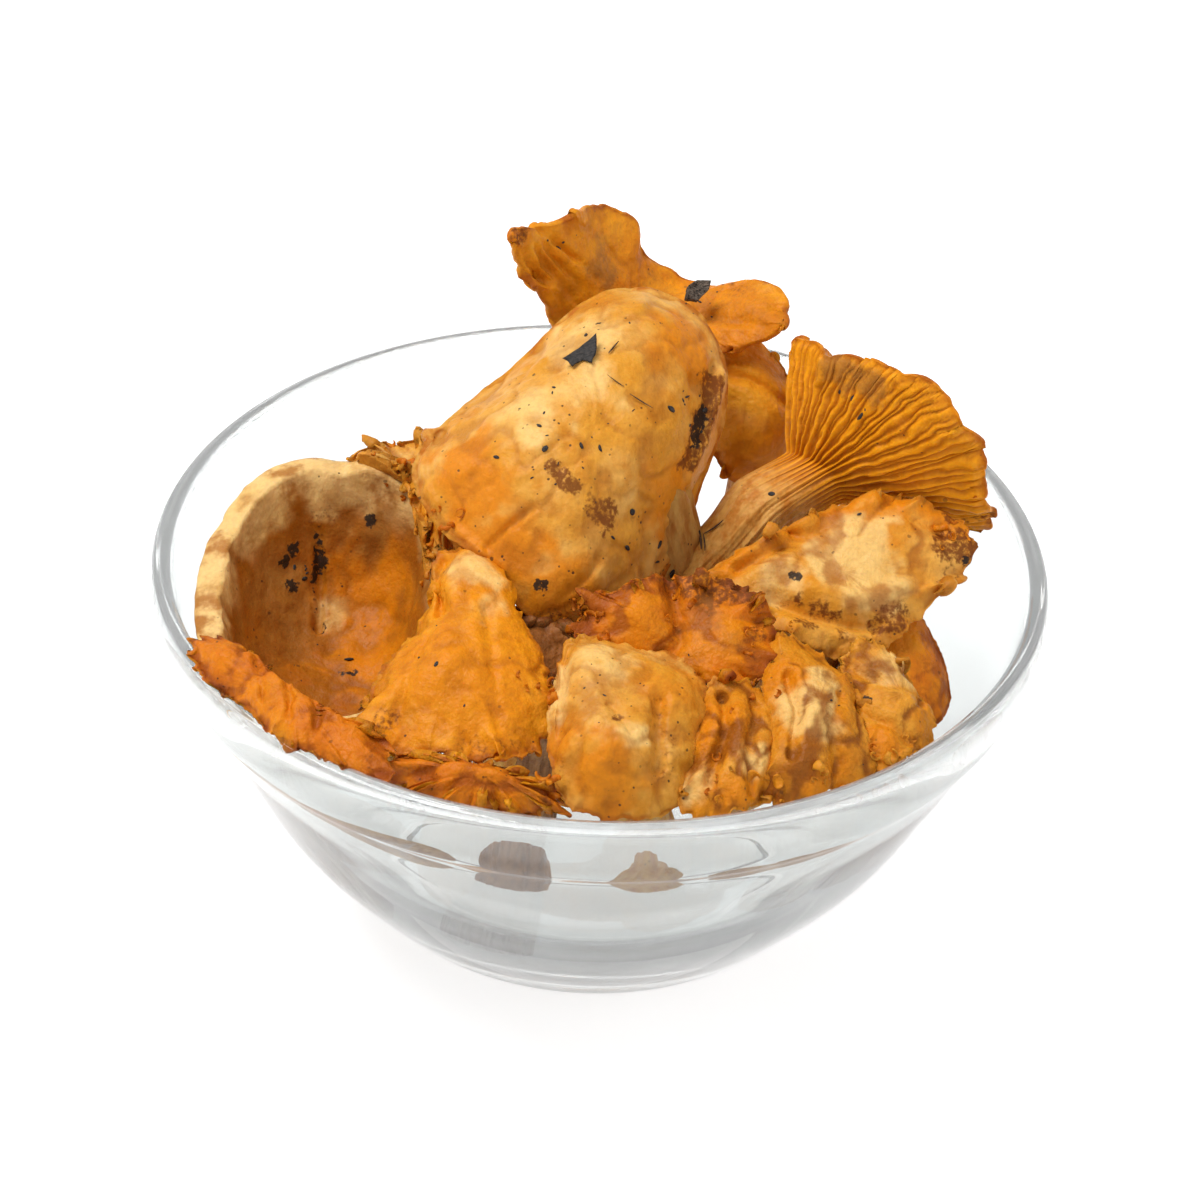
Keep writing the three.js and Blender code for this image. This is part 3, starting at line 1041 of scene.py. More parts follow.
    def _lip(self, upper: Array, under: Array, facing: Array) -> Array:
        """Rings that round the edge between the two skins.

        Args:
            upper: The upper skin at the rim.
            under: The underside at the rim.
            facing: The upper skin's normals at the rim.

        Returns:
            The rings, from the upper side to the lower.
        """
        middle = (upper + under) / 2
        half = np.linalg.norm(upper - under, axis=1, keepdims=True) / 2
        outward = middle - self.top
        outward = unit(outward - np.outer(outward @ self.axis, self.axis))
        angles = np.linspace(0.0, math.pi, self.LIP_RINGS + 2)[1:-1]
        return np.stack([middle + facing * half * math.cos(a) + outward * half * 0.8 * math.sin(a)
                         for a in angles])

    def _stem_rings(self, under: Array) -> tuple[Array, Array, Array]:
        """Rings from the gills into the stem, rings down it, and its end point.

        Args:
            under: Points of the underside.

        Returns:
            The neck, the stem and the end point.
        """
        start = self.top - self.axis * self.flesh[1] * 1.2
        spine = np.vstack([start, np.array([row[:3] for row in self.stem], float)])
        radii = np.array([self.stem[0][3]] + [row[3] for row in self.stem])
        dense = catmull_rom(spine, False, 16)
        share = np.linspace(0.0, len(spine) - 1, len(dense))
        count = self.STEM_RINGS + 1
        centres = even_spread(dense, count, False)
        widths = np.interp(np.linspace(0, len(spine) - 1, count), share,
                           np.interp(share, np.arange(len(radii)), radii))
        tangents = unit(np.gradient(centres, axis=0))
        first = int(count * self.NECK_SHARE)
        rings = np.stack([self._stem_ring(under[-1], centres[i], tangents[i], widths[i])
                          for i in range(first, count)])
        rings = self._stem_relief(rings, centres[first:])
        neck = self._neck(under, rings)
        end = centres[-1] + tangents[-1] * widths[-1] * 0.25
        return neck, rings, end

    def _stem_ring(self, above: Array, centre: Array, tangent: Array, radius: float) -> Array:
        """One ring of the stem, each point on the side of the cap that it hangs from.

        Args:
            above: The underside's last ring.
            centre: The ring's middle.
            tangent: The direction of the stem there.
            radius: The stem's radius there.

        Returns:
            The ring's points.
        """
        turn = np.array(Vector(-self.axis).rotation_difference(Vector(tangent)).to_matrix())
        first = above[0] - self.top
        first = unit(first - (first @ self.axis) * self.axis)
        second = np.cross(self.axis, first)
        reach = above - self.top
        lead = np.arctan2(reach @ second, reach @ first) - TURN * self.turns
        drift = math.atan2(np.sin(lead).sum(), np.cos(lead).sum())
        angle = drift + TURN * self.turns
        side = np.outer(np.cos(angle), first) + np.outer(np.sin(angle), second)
        return centre + radius * side @ turn.T

    def _stem_relief(self, rings: Array, centres: Array) -> Array:
        """Long fibres and slow lumps down the stem.

        Args:
            rings: The stem's rings.
            centres: The rings' middles.

        Returns:
            The rings with their relief.
        """
        outward = unit(rings - centres[:, None])
        strands = np.broadcast_to(self.circle * 8.0, rings.shape).copy()
        strands[..., 2] = np.linspace(0.0, 2.0, len(rings))[:, None]
        relief = 0.55 * self.noise(strands, 1.0, 2) + 1.1 * self.noise(rings, 11.0)
        return rings + outward * relief[..., None]

    def _neck(self, under: Array, rings: Array) -> Array:
        """Ease from the last gill ring into the first stem ring.

        Args:
            under: Points of the underside.
            rings: The stem's rings.

        Returns:
            The rings between them.
        """
        leave = (under[-1] - under[-4]) * 2.0
        arrive = (rings[1] - rings[0]) * 3.0
        result = []
        for t in np.linspace(0.0, 1.0, self.NECK_RINGS + 2)[1:-1]:
            a = 2 * t**3 - 3 * t**2 + 1
            b = t**3 - 2 * t**2 + t
            c = -2 * t**3 + 3 * t**2
            d = t**3 - t**2
            result.append(a * under[-1] + b * leave + c * rings[0] + d * arrive)
        return np.stack(result)

    def _growth(self, upper_steps: Array, gill_steps: Array, ridges: Array,
                neck: int, stem: int) -> Array:
        """Masks of the dried margin, the gill crests, the cap side and the stem.

        Args:
            upper_steps: How far in the upper skin's rings lie.
            gill_steps: How far in the underside's rings lie.
            ridges: Height of the gills, from 0 to 1.
            neck: How many rings the neck has.
            stem: How many rings the stem has.

        Returns:
            The four channels at every ring point.
        """
        top = np.zeros((len(upper_steps), self.around, 4))
        wander = 0.5 + 0.5 * self.noise(self.circle * 4.0 + 2.0, 1.0, 2)
        reach = self.dried * (0.3 + 1.4 * wander)[None]
        top[..., 0] = smooth(1.0, 0.0, upper_steps[:, None] / np.maximum(reach, 1e-3))
        top[..., 1] = 1.0
        top[..., 2] = 1.0
        lip = np.zeros((self.LIP_RINGS, self.around, 4))
        lip[..., :3] = (1.0, 1.0, 1.0)
        low = np.zeros((len(gill_steps), self.around, 4))
        low[..., 0] = smooth(1.0, 0.0, gill_steps[:, None] / np.maximum(reach, 1e-3)) * 0.8
        low[..., 1] = ridges
        low[..., 2] = smooth(0.02, 0.0, gill_steps)[:, None]
        down = np.zeros((neck + stem, self.around, 4))
        down[..., 1] = ridges[-1] * smooth(0.45, 0.0, np.linspace(0, 1, neck + stem))[:, None]
        down[..., 3] = smooth(0.0, 0.3, np.linspace(0, 1, neck + stem))[:, None]
        return np.concatenate([top[::-1], lip, low, down])

    def _stain_masks(self, rings: Array) -> Array:
        """The stain channels at every ring point, four to a mask.

        Args:
            rings: All the ring points.

        Returns:
            Eight channels: the first four stains, then soil and three blanks.
        """
        masks = np.zeros((*rings.shape[:2], 8))
        ragged = self.noise(rings + 11.0, 5.0, 3) * 0.7
        for stain in self.stains:
            path = np.array([stain.at, stain.to or stain.at], float)
            gap = distance_to_path(rings, path) / stain.radius
            patch = smooth(1.35, 0.25, gap + ragged) * stain.strength
            channel = stain.kind.value
            masks[..., channel] = np.maximum(masks[..., channel], patch)
        return masks


# ------------------------------------------------------------------ the heap


def middle_mushrooms() -> list[Chanterelle]:
    """The big draped cap, the funnel, and the two behind them.

    Returns:
        The mushrooms, front to back.
    """
    return [
        Chanterelle(
            "draped_cap_chanterelle", "cream_flesh", CREAM_FLESH,
            rim=[(-39, 0, 115), (-42, -8, 110), (-36, -18, 105), (-26, -27, 103), (-13, -34, 92),
                 (2, -29, 83), (13, -12, 88), (21, 3, 103), (26, 15, 118), (23, 26, 128),
                 (9, 33, 137), (-6, 30, 134), (-21, 18, 124)],
            crown=(-4, -13, 126), power=2.3, flesh=(4, 10),
            stem=[(6, 1, 104, 12), (12, 2, 87, 9.5), (10, 8, 60, 8), (6, 16, 34, 7)],
            frill=0.6, waves=6, fray=0.4, crumple=0.85, dried=0.03, seed=11,
            swells=[Swell((-18, -4, 125), 14, 1.5), Swell((14, 14, 131), 12, 2.0),
                    Swell((6, -18, 112), 12, -1.6), Swell((-10, 16, 132), 10, 1.0)],
            creases=[
                Crease(((-25, -27, 106), (-20, -26, 111), (-15, -24, 115)), 0.9, 1.6),
                Crease(((-8, -32, 97), (-3, -30, 101), (0, -27, 105)), 0.8, 1.2),
                Crease(((-36, 1, 117), (-36, -8, 112), (-31, -17, 108), (-24, -24, 105)),
                       1.6, 2.8),
                Crease(((-40, -1, 116), (-41, -9, 111), (-36, -18, 106), (-27, -27, 104)),
                       2.2, -2.0),
                Crease(((22, 18, 126), (18, 8, 123), (17, 3, 119), (18, 1, 111)), 1.2, 3.0),
                Crease(((26, 18, 124), (23, 7, 117), (18, -1, 108)), 2.2, -2.2),
                Crease(((-2, 24, 136), (4, 14, 134), (8, 2, 128), (6, -12, 119)), 9.0, -1.6),
                Crease(((21, 12, 123), (21, 5, 117)), 2.4, 1.6),
            ],
            stains=[
                Stain(StainKind.BRUISE, (-3, -18, 117), 10, 0.5),
                Stain(StainKind.BRUISE, (-2, -9, 128), 8, 0.4),
                Stain(StainKind.BRUISE, (5, 4, 130), 8, 0.3),
                Stain(StainKind.BROWN, (-11, -19, 123), 3.2, 1.0, to=(-7, -21, 119)),
                Stain(StainKind.BROWN, (-3, -23, 115), 4.0, 0.9),
                Stain(StainKind.BROWN, (2, -22, 112), 6.0, 1.0),
                Stain(StainKind.BROWN, (8, -17, 107), 4.5, 0.7),
                Stain(StainKind.BROWN, (-14, -12, 127), 3.0, 0.6),
                Stain(StainKind.BRUISE, (-15, -24, 114), 6, 0.5, to=(-20, -15, 120)),
                Stain(StainKind.BROWN, (23, 14, 124), 6, 1.0, to=(18, 0, 113)),
                Stain(StainKind.BROWN, (-9, -33, 92), 7, 0.8),
                Stain(StainKind.BROWN, (-24, -4, 121), 3, 0.5, to=(-20, -20, 116)),
                Stain(StainKind.SOIL, (21, 9, 121), 3.0, 1.0, to=(20, 3, 117)),
                Stain(StainKind.SOIL, (-12.6, -32.4, 101), 2.6, 1.0),
                Stain(StainKind.ORANGE, (-29, -17, 116), 14, 1.0),
                Stain(StainKind.ORANGE, (-22, -29, 104), 14, 1.0),
                Stain(StainKind.ORANGE, (-9, -32, 99), 11, 0.9),
                Stain(StainKind.ORANGE, (16, 14, 133), 12, 1.0),
                Stain(StainKind.ORANGE, (14, -6, 108), 12, 0.9),
                Stain(StainKind.ORANGE, (-3, 27, 137), 8, 0.6),
                Stain(StainKind.CREAM, (-17, -10, 128), 11, 0.8),
                Stain(StainKind.CREAM, (-6, 14, 134), 14, 0.8),
                Stain(StainKind.CREAM, (-3, 0, 131), 10, 0.7),
            ],
        ),
        Chanterelle(
            "funnel_chanterelle", "golden_flesh", GOLDEN_FLESH,
            rim=[(41, 25, 129), (49, 13, 135), (59, 5, 137), (70, -1, 137), (79, -5, 129),
                 (84, -3, 113), (86, 5, 97), (82, 18, 92), (73, 32, 95), (62, 41, 104),
                 (50, 38, 117)],
            crown=(47, 13, 104), power=1.25, flesh=(1.2, 5),
            stem=[(37, 6, 99, 8.5), (28, 1, 89, 7.5), (19, -3, 79, 8), (13, -6, 66, 8)],
            frill=1.6, waves=9, fray=1.6, crumple=0.35, gills=36, gill_height=0.9, dried=0.04,
            around=672, frill_depth=0.35, seed=12,
            stains=[
                Stain(StainKind.BRUISE, (48, 9, 132), 6, 1.0, to=(57, 3, 132)),
                Stain(StainKind.BROWN, (85, 0, 98), 8, 0.8),
                Stain(StainKind.BROWN, (80, -4, 128), 5, 0.5),
                Stain(StainKind.CREAM, (22, -4, 86), 9, 0.4),
            ],
        ),
        Chanterelle(
            "horned_chanterelle", "orange_flesh", GOLDEN_FLESH,
            rim=[(-23, 34, 148), (-13, 44, 146), (-4, 56, 144), (4, 60, 138), (7, 60, 130),
                 (13, 60, 125), (22, 57, 124), (31, 54, 127), (38, 46, 127), (38, 38, 125),
                 (29, 35, 122), (18, 40, 122), (2, 40, 118), (-10, 37, 121), (-17, 36, 134)],
            crown=(6, 49, 124), power=1.3, flesh=(1.8, 5),
            stem=[(6, 46, 110, 8), (10, 44, 84, 8), (6, 40, 56, 7), (0, 36, 26, 7)],
            frill=1.4, waves=9, fray=0.9, crumple=0.6, gills=26, gill_height=0.8, dried=0.05,
            around=540, seed=13,
            swells=[Swell((33, 44, 127), 9, 4.0), Swell((22, 48, 124), 6, -2.0)],
            creases=[
                Crease(((20, 46, 124), (27, 42, 124), (33, 38, 124)), 1.6, 1.8),
                Crease(((-20, 36, 143), (-14, 37, 133), (-8, 39, 124)), 0.7, 1.6),
                Crease(((-18, 38, 143), (-11, 39, 133), (-5, 41, 124)), 0.7, 1.6),
                Crease(((-16, 40, 143), (-9, 41, 134), (-2, 42, 125)), 0.7, 1.6),
                Crease(((-14, 42, 143), (-6, 44, 135), (0, 44, 126)), 0.7, 1.6),
            ],
            stains=[
                Stain(StainKind.BRUISE, (-2, 48, 133), 7, 0.9),
                Stain(StainKind.SOIL, (-4.7, 36.2, 138.4), 2.8, 1.0),
                Stain(StainKind.BROWN, (-22, 35, 148), 3.5, 0.9),
                Stain(StainKind.BROWN, (8, 58, 128), 6, 0.6),
                Stain(StainKind.BROWN, (28, 51, 127), 5, 0.7),
                Stain(StainKind.BRUISE, (10, 52, 126), 9, 0.6, to=(24, 44, 123)),
                Stain(StainKind.ORANGE, (29, 42, 124), 14, 0.9),
                Stain(StainKind.BRUISE, (31, 45, 126), 12, 0.55),
            ],
        ),
        Chanterelle(
            "rear_smooth_chanterelle", "orange_flesh", GOLDEN_FLESH,
            rim=[(25, 44, 118), (34, 44, 117), (41, 40, 110), (44, 34, 101), (39, 28, 93),
                 (30, 26, 91), (24, 29, 98), (21, 38, 109)],
            crown=(35, 28, 108), power=2.2, flesh=(2.5, 8),
            stem=[(34, 37, 92, 6), (34, 42, 70, 7), (30, 34, 42, 6)],
            frill=1.0, waves=5, fray=0.5, crumple=0.5, seed=14,
            creases=[
                Crease(((26, 36, 113), (32, 33, 114), (38, 32, 110), (43, 33, 106)), 1.5, 2.0),
                Crease(((27, 33, 108), (32, 31, 108), (37, 30, 107)), 1.0, 1.2),
            ],
            stains=[Stain(StainKind.CREAM, (34, 30, 106), 7, 0.35),
                    Stain(StainKind.BROWN, (40, 36, 111), 4, 0.4)],
        ),
    ]


def right_mushrooms() -> list[Chanterelle]:
    """The slab-like cap and the lobes at the right.

    Returns:
        The mushrooms, back to front.
    """
    return [
        Chanterelle(
            "right_slab_chanterelle", "tan_flesh", TAN_FLESH,
            rim=[(24, -20, 97), (33, -14, 101), (44, -8, 104), (54, -2, 106), (66, -1, 107),
                 (76, -4, 106), (82, -8, 101), (80, -14, 95), (72, -22, 92), (62, -31, 87),
                 (53, -35, 87), (42, -34, 91), (30, -28, 95)],
            crown=(53, -21, 100), power=2.4, flesh=(1.6, 7),
            stem=[(52, -14, 86, 8), (46, -8, 66, 7.5), (34, -2, 42, 7)],
            frill=2.3, waves=11, frill_depth=0.28, fray=1.2, crumple=0.5, dried=0.12, seed=21,
            swells=[Swell((60, -6, 103), 12, 1.5), Swell((34, -18, 99), 9, 2.0)],
            creases=[
                Crease(((30, -21, 99), (40, -15, 101), (52, -9, 103), (64, -6, 104),
                        (74, -8, 103)), 1.8, 2.6),
                Crease(((30, -17, 99), (40, -11, 101), (52, -5, 103), (66, -3, 104)), 2.6, -2.4),
                Crease(((38, -28, 97), (45, -30, 95), (52, -31, 94), (60, -29, 92)), 1.8, 3.2),
                Crease(((46, -25, 98), (56, -26, 96), (66, -22, 97)), 2.4, -1.6),
            ],
            stains=[
                Stain(StainKind.SOIL, (42.7, -23.3, 99.4), 2.8, 1.0),
                Stain(StainKind.BROWN, (79, -10, 100), 10, 1.0),
                Stain(StainKind.SOIL, (80, -12, 98), 3.0, 0.9),
                Stain(StainKind.BROWN, (76, -4, 104), 6, 0.9),
                Stain(StainKind.BROWN, (43, -29, 96), 6, 1.0, to=(50, -31, 94)),
                Stain(StainKind.BROWN, (62, -28, 91), 5, 0.9, to=(67, -26, 92)),
                Stain(StainKind.CREAM, (56, -18, 101), 14, 0.9),
                Stain(StainKind.CREAM, (40, -24, 99), 8, 0.8),
                Stain(StainKind.ORANGE, (28, -18, 99), 6, 1.0, to=(42, -9, 103)),
                Stain(StainKind.ORANGE, (42, -9, 103), 6, 1.0, to=(66, -2, 107)),
                Stain(StainKind.ORANGE, (66, -2, 107), 6, 1.0, to=(78, -5, 105)),
            ],
        ),
        Chanterelle(
            "orange_lobe_chanterelle", "orange_flesh", ORANGE_FLESH,
            rim=[(62, -22, 88), (69, -17, 88), (74, -20, 82), (78, -29, 74), (75, -35, 71),
                 (67, -40, 72), (59, -36, 77)],
            crown=(70, -29, 82), power=2.2, flesh=(3, 7),
            stem=[(62, -22, 72, 6), (52, -14, 58, 6), (44, -8, 40, 6)],
            frill=0.5, waves=4, fray=0.4, crumple=0.35, seed=22,
        ),
        Chanterelle(
            "split_chanterelle", "cream_flesh", CRUSTY_FLESH,
            rim=[(38, -40, 95), (46, -40, 93), (53, -46, 91), (58, -58, 86), (60, -68, 80),
                 (52, -73, 79), (44, -78, 79), (37, -78, 80), (36, -66, 87), (35, -54, 91)],
            crown=(47, -61, 93), power=2.1, flesh=(1.8, 7),
            stem=[(44, -52, 76, 7), (38, -40, 60, 7), (30, -26, 42, 6)],
            frill=1.2, waves=6, frill_depth=0.28, fray=1.2, crumple=0.55, seed=23,
            creases=[
                Crease(((41, -53, 95), (43, -62, 93), (42, -72, 87)), 1.3, 2.2),
                Crease(((52, -56, 92), (50, -64, 90), (52, -71, 84)), 1.6, 2.0),
            ],
            stains=[
                Stain(StainKind.BRUISE, (55, -55, 90), 6, 0.4),
                Stain(StainKind.ORANGE, (40, -54, 95), 8, 1.0),
                Stain(StainKind.ORANGE, (50, -74, 81), 8, 0.8),
                Stain(StainKind.CREAM, (45, -62, 93), 9, 1.0),
                Stain(StainKind.CREAM, (48, -52, 94), 5, 0.9),
                Stain(StainKind.BROWN, (38, -62, 91), 2.5, 0.6, to=(38, -74, 84)),
                Stain(StainKind.BROWN, (52, -62, 89), 2.5, 0.6, to=(51, -72, 83)),
            ],
            swells=[Swell((49, -60, 91), 7, 2.0), Swell((42, -72, 86), 6, 1.8)],
        ),
        Chanterelle(
            "curled_chanterelle", "cream_flesh", CRUSTY_FLESH,
            rim=[(54, -36, 91), (62, -37, 92), (67, -43, 89), (73, -50, 83), (72, -57, 81),
                 (66, -64, 80), (60, -68, 80), (57, -58, 85), (53, -46, 89)],
            crown=(66, -51, 90), power=1.9, flesh=(1.6, 4.5),
            stem=[(60, -46, 78, 5), (50, -34, 62, 5.5), (40, -22, 44, 5.5)],
            frill=1.5, waves=6, frill_depth=0.3, fray=1.2, crumple=0.65, seed=24,
            creases=[
                Crease(((56, -45, 92), (62, -48, 91), (70, -50, 87)), 1.4, 2.0),
                Crease(((58, -56, 88), (63, -58, 87), (68, -60, 84)), 1.4, 1.8),
            ],
            stains=[
                Stain(StainKind.SOIL, (58, -52, 88), 2.2, 1.0),
                Stain(StainKind.BRUISE, (60, -48, 90), 7, 0.4),
                Stain(StainKind.CREAM, (64, -44, 91), 7, 0.9),
                Stain(StainKind.BROWN, (69, -58, 84), 5, 0.7),
                Stain(StainKind.ORANGE, (60, -62, 84), 7, 0.9),
            ],
        ),
    ]


def front_mushrooms() -> list[Chanterelle]:
    """The crest, the bulging cap, the frilled cap and the stem in the gap.

    Returns:
        The mushrooms, back to front.
    """
    return [
        Chanterelle(
            "crest_chanterelle", "orange_flesh", ORANGE_FLESH,
            rim=[(-5, -37, 103), (1, -37, 102), (11, -33, 105), (21, -32, 105), (30, -33, 104),
                 (38, -38, 98), (39, -46, 93), (33, -52, 91), (21, -52, 92), (9, -49, 92),
                 (-3, -47, 95)],
            crown=(19, -45, 95), power=1.6, flesh=(1.3, 6),
            stem=[(18, -36, 84, 8), (16, -26, 64, 7), (12, -14, 40, 7)],
            frill=2.2, waves=8, frill_depth=0.45, fray=1.8, crumple=0.7, dried=0.16, seed=31,
            swells=[Swell((8, -40, 100), 8, 4.0), Swell((28, -44, 96), 8, 3.0)],
            creases=[Crease(((16, -36, 103), (18, -44, 96), (14, -50, 94)), 1.8, 2.6)],
            stains=[
                Stain(StainKind.BROWN, (2, -36, 104), 5, 0.8, to=(16, -33, 106)),
                Stain(StainKind.BROWN, (16, -34, 105), 8, 1.0, to=(30, -35, 103)),
                Stain(StainKind.BRUISE, (4, -42, 99), 6, 0.4),
                Stain(StainKind.BROWN, (34, -41, 97), 5, 0.8),
                Stain(StainKind.ORANGE, (10, -42, 99), 9, 0.9),
                Stain(StainKind.ORANGE, (30, -44, 96), 8, 0.9),
                Stain(StainKind.ORANGE, (21, -47, 95), 9, 0.7),
                Stain(StainKind.BRUISE, (20, -42, 99), 12, 0.6),
            ],
        ),
        Chanterelle(
            "bulb_chanterelle", "cream_flesh", CREAM_FLESH,
            rim=[(-6, -47, 96), (4, -45, 96), (15, -48, 95), (24, -57, 91), (22, -69, 86),
                 (20, -79, 79), (10, -84, 78), (1, -86, 80), (-6, -83, 82), (-9, -72, 88),
                 (-9, -59, 92)],
            crown=(4, -72, 96), power=2.4, flesh=(2.4, 8),
            stem=[(6, -60, 78, 8), (10, -52, 58, 7), (14, -46, 42, 6)],
            frill=0.9, waves=6, fray=0.8, crumple=0.9, dried=0.03, seed=32,
            swells=[Swell((5, -79, 91), 9, 2.5), Swell((17, -64, 94), 8, 2.0)],
            creases=[
                Crease(((14, -66, 96), (13, -72, 93), (14, -78, 88)), 1.8, 3.0),
                Crease(((4, -70, 97), (6, -74, 96), (8, -76, 94)), 1.0, 1.6),
                Crease(((-6, -50, 97), (-7, -60, 95), (-7, -72, 91)), 1.2, 1.6),
            ],
            stains=[
                Stain(StainKind.BROWN, (5, -73, 96), 2.6, 1.0),
                Stain(StainKind.CREAM, (9, -76, 94), 4.5, 1.0),
                Stain(StainKind.CREAM, (0, -56, 98), 9, 0.8),
                # Painted highlight: a pale stripe along the cap's lit left rim.
                Stain(StainKind.CREAM, (-8, -56, 94), 4, 1.0, to=(-8, -66, 92)),
                Stain(StainKind.ORANGE, (4, -83, 87), 11, 1.0),
                Stain(StainKind.ORANGE, (15, -62, 94), 9, 0.9),
                Stain(StainKind.ORANGE, (-7, -74, 90), 8, 0.8),
                Stain(StainKind.BROWN, (-7, -80, 86), 6, 0.7),
                Stain(StainKind.BROWN, (15, -78, 87), 5, 0.7, to=(13, -66, 94)),
                Stain(StainKind.BRUISE, (2, -66, 98), 11, 0.45),
                Stain(StainKind.BRUISE, (14, -76, 88), 8, 0.5),
            ],
        ),
        Chanterelle(
            "frilled_chanterelle", "golden_flesh", CRUSTY_FLESH,
            rim=[(24, -54, 92), (33, -52, 92), (40, -58, 88), (41, -66, 84), (38, -76, 80),
                 (31, -83, 80), (21, -83, 79), (18, -73, 84), (20, -62, 88)],
            crown=(31, -69, 90), power=2.0, flesh=(1.5, 4),
            stem=[(29, -66, 77, 4.5), (26, -54, 66, 5.5), (22, -40, 58, 5)],
            frill=1.0, waves=6, frill_depth=0.34, fray=1.1, crumple=0.6, seed=33,
            creases=[
                Crease(((27, -58, 93), (28, -68, 91), (25, -78, 84)), 1.5, 3.0),
                Crease(((34, -60, 91), (33, -70, 89), (34, -79, 83)), 1.4, 2.4),
            ],
            stains=[
                Stain(StainKind.ORANGE, (27, -68, 90), 9, 1.0),
                Stain(StainKind.BROWN, (28, -62, 92), 2.5, 0.5, to=(27, -74, 87)),
                Stain(StainKind.BROWN, (34, -68, 89), 2.5, 0.5, to=(35, -78, 84)),
                Stain(StainKind.CREAM, (34, -73, 87), 5, 0.9),
                Stain(StainKind.CREAM, (22, -78, 83), 6, 0.7),
                Stain(StainKind.ORANGE, (30, -80, 82), 7, 0.8),
            ],
            swells=[Swell((27, -66, 91), 6, 2.5), Swell((35, -72, 87), 5, 2.0),
                    Swell((25, -77, 84), 4, 1.6)],
        ),
        Chanterelle(
            # This stem sits in the shadow of the caps round it; its dark finish is painted shade.
            "deep_stem_chanterelle", "brown_flesh", SHADOWED_STEM_FLESH,
            rim=[(-22, -38, 90), (-16, -32, 92), (-8, -32, 91), (0, -36, 88), (2, -42, 85),
                 (-6, -46, 84), (-16, -45, 86)],
            crown=(-10, -39, 90), power=2.0, flesh=(3, 6),
            stem=[(-10, -36, 78, 6), (-13, -32, 54, 7), (-16, -30, 26, 8)],
            frill=1.0, waves=6, fray=1.6, crumple=1.2, seed=34,
        ),
    ]


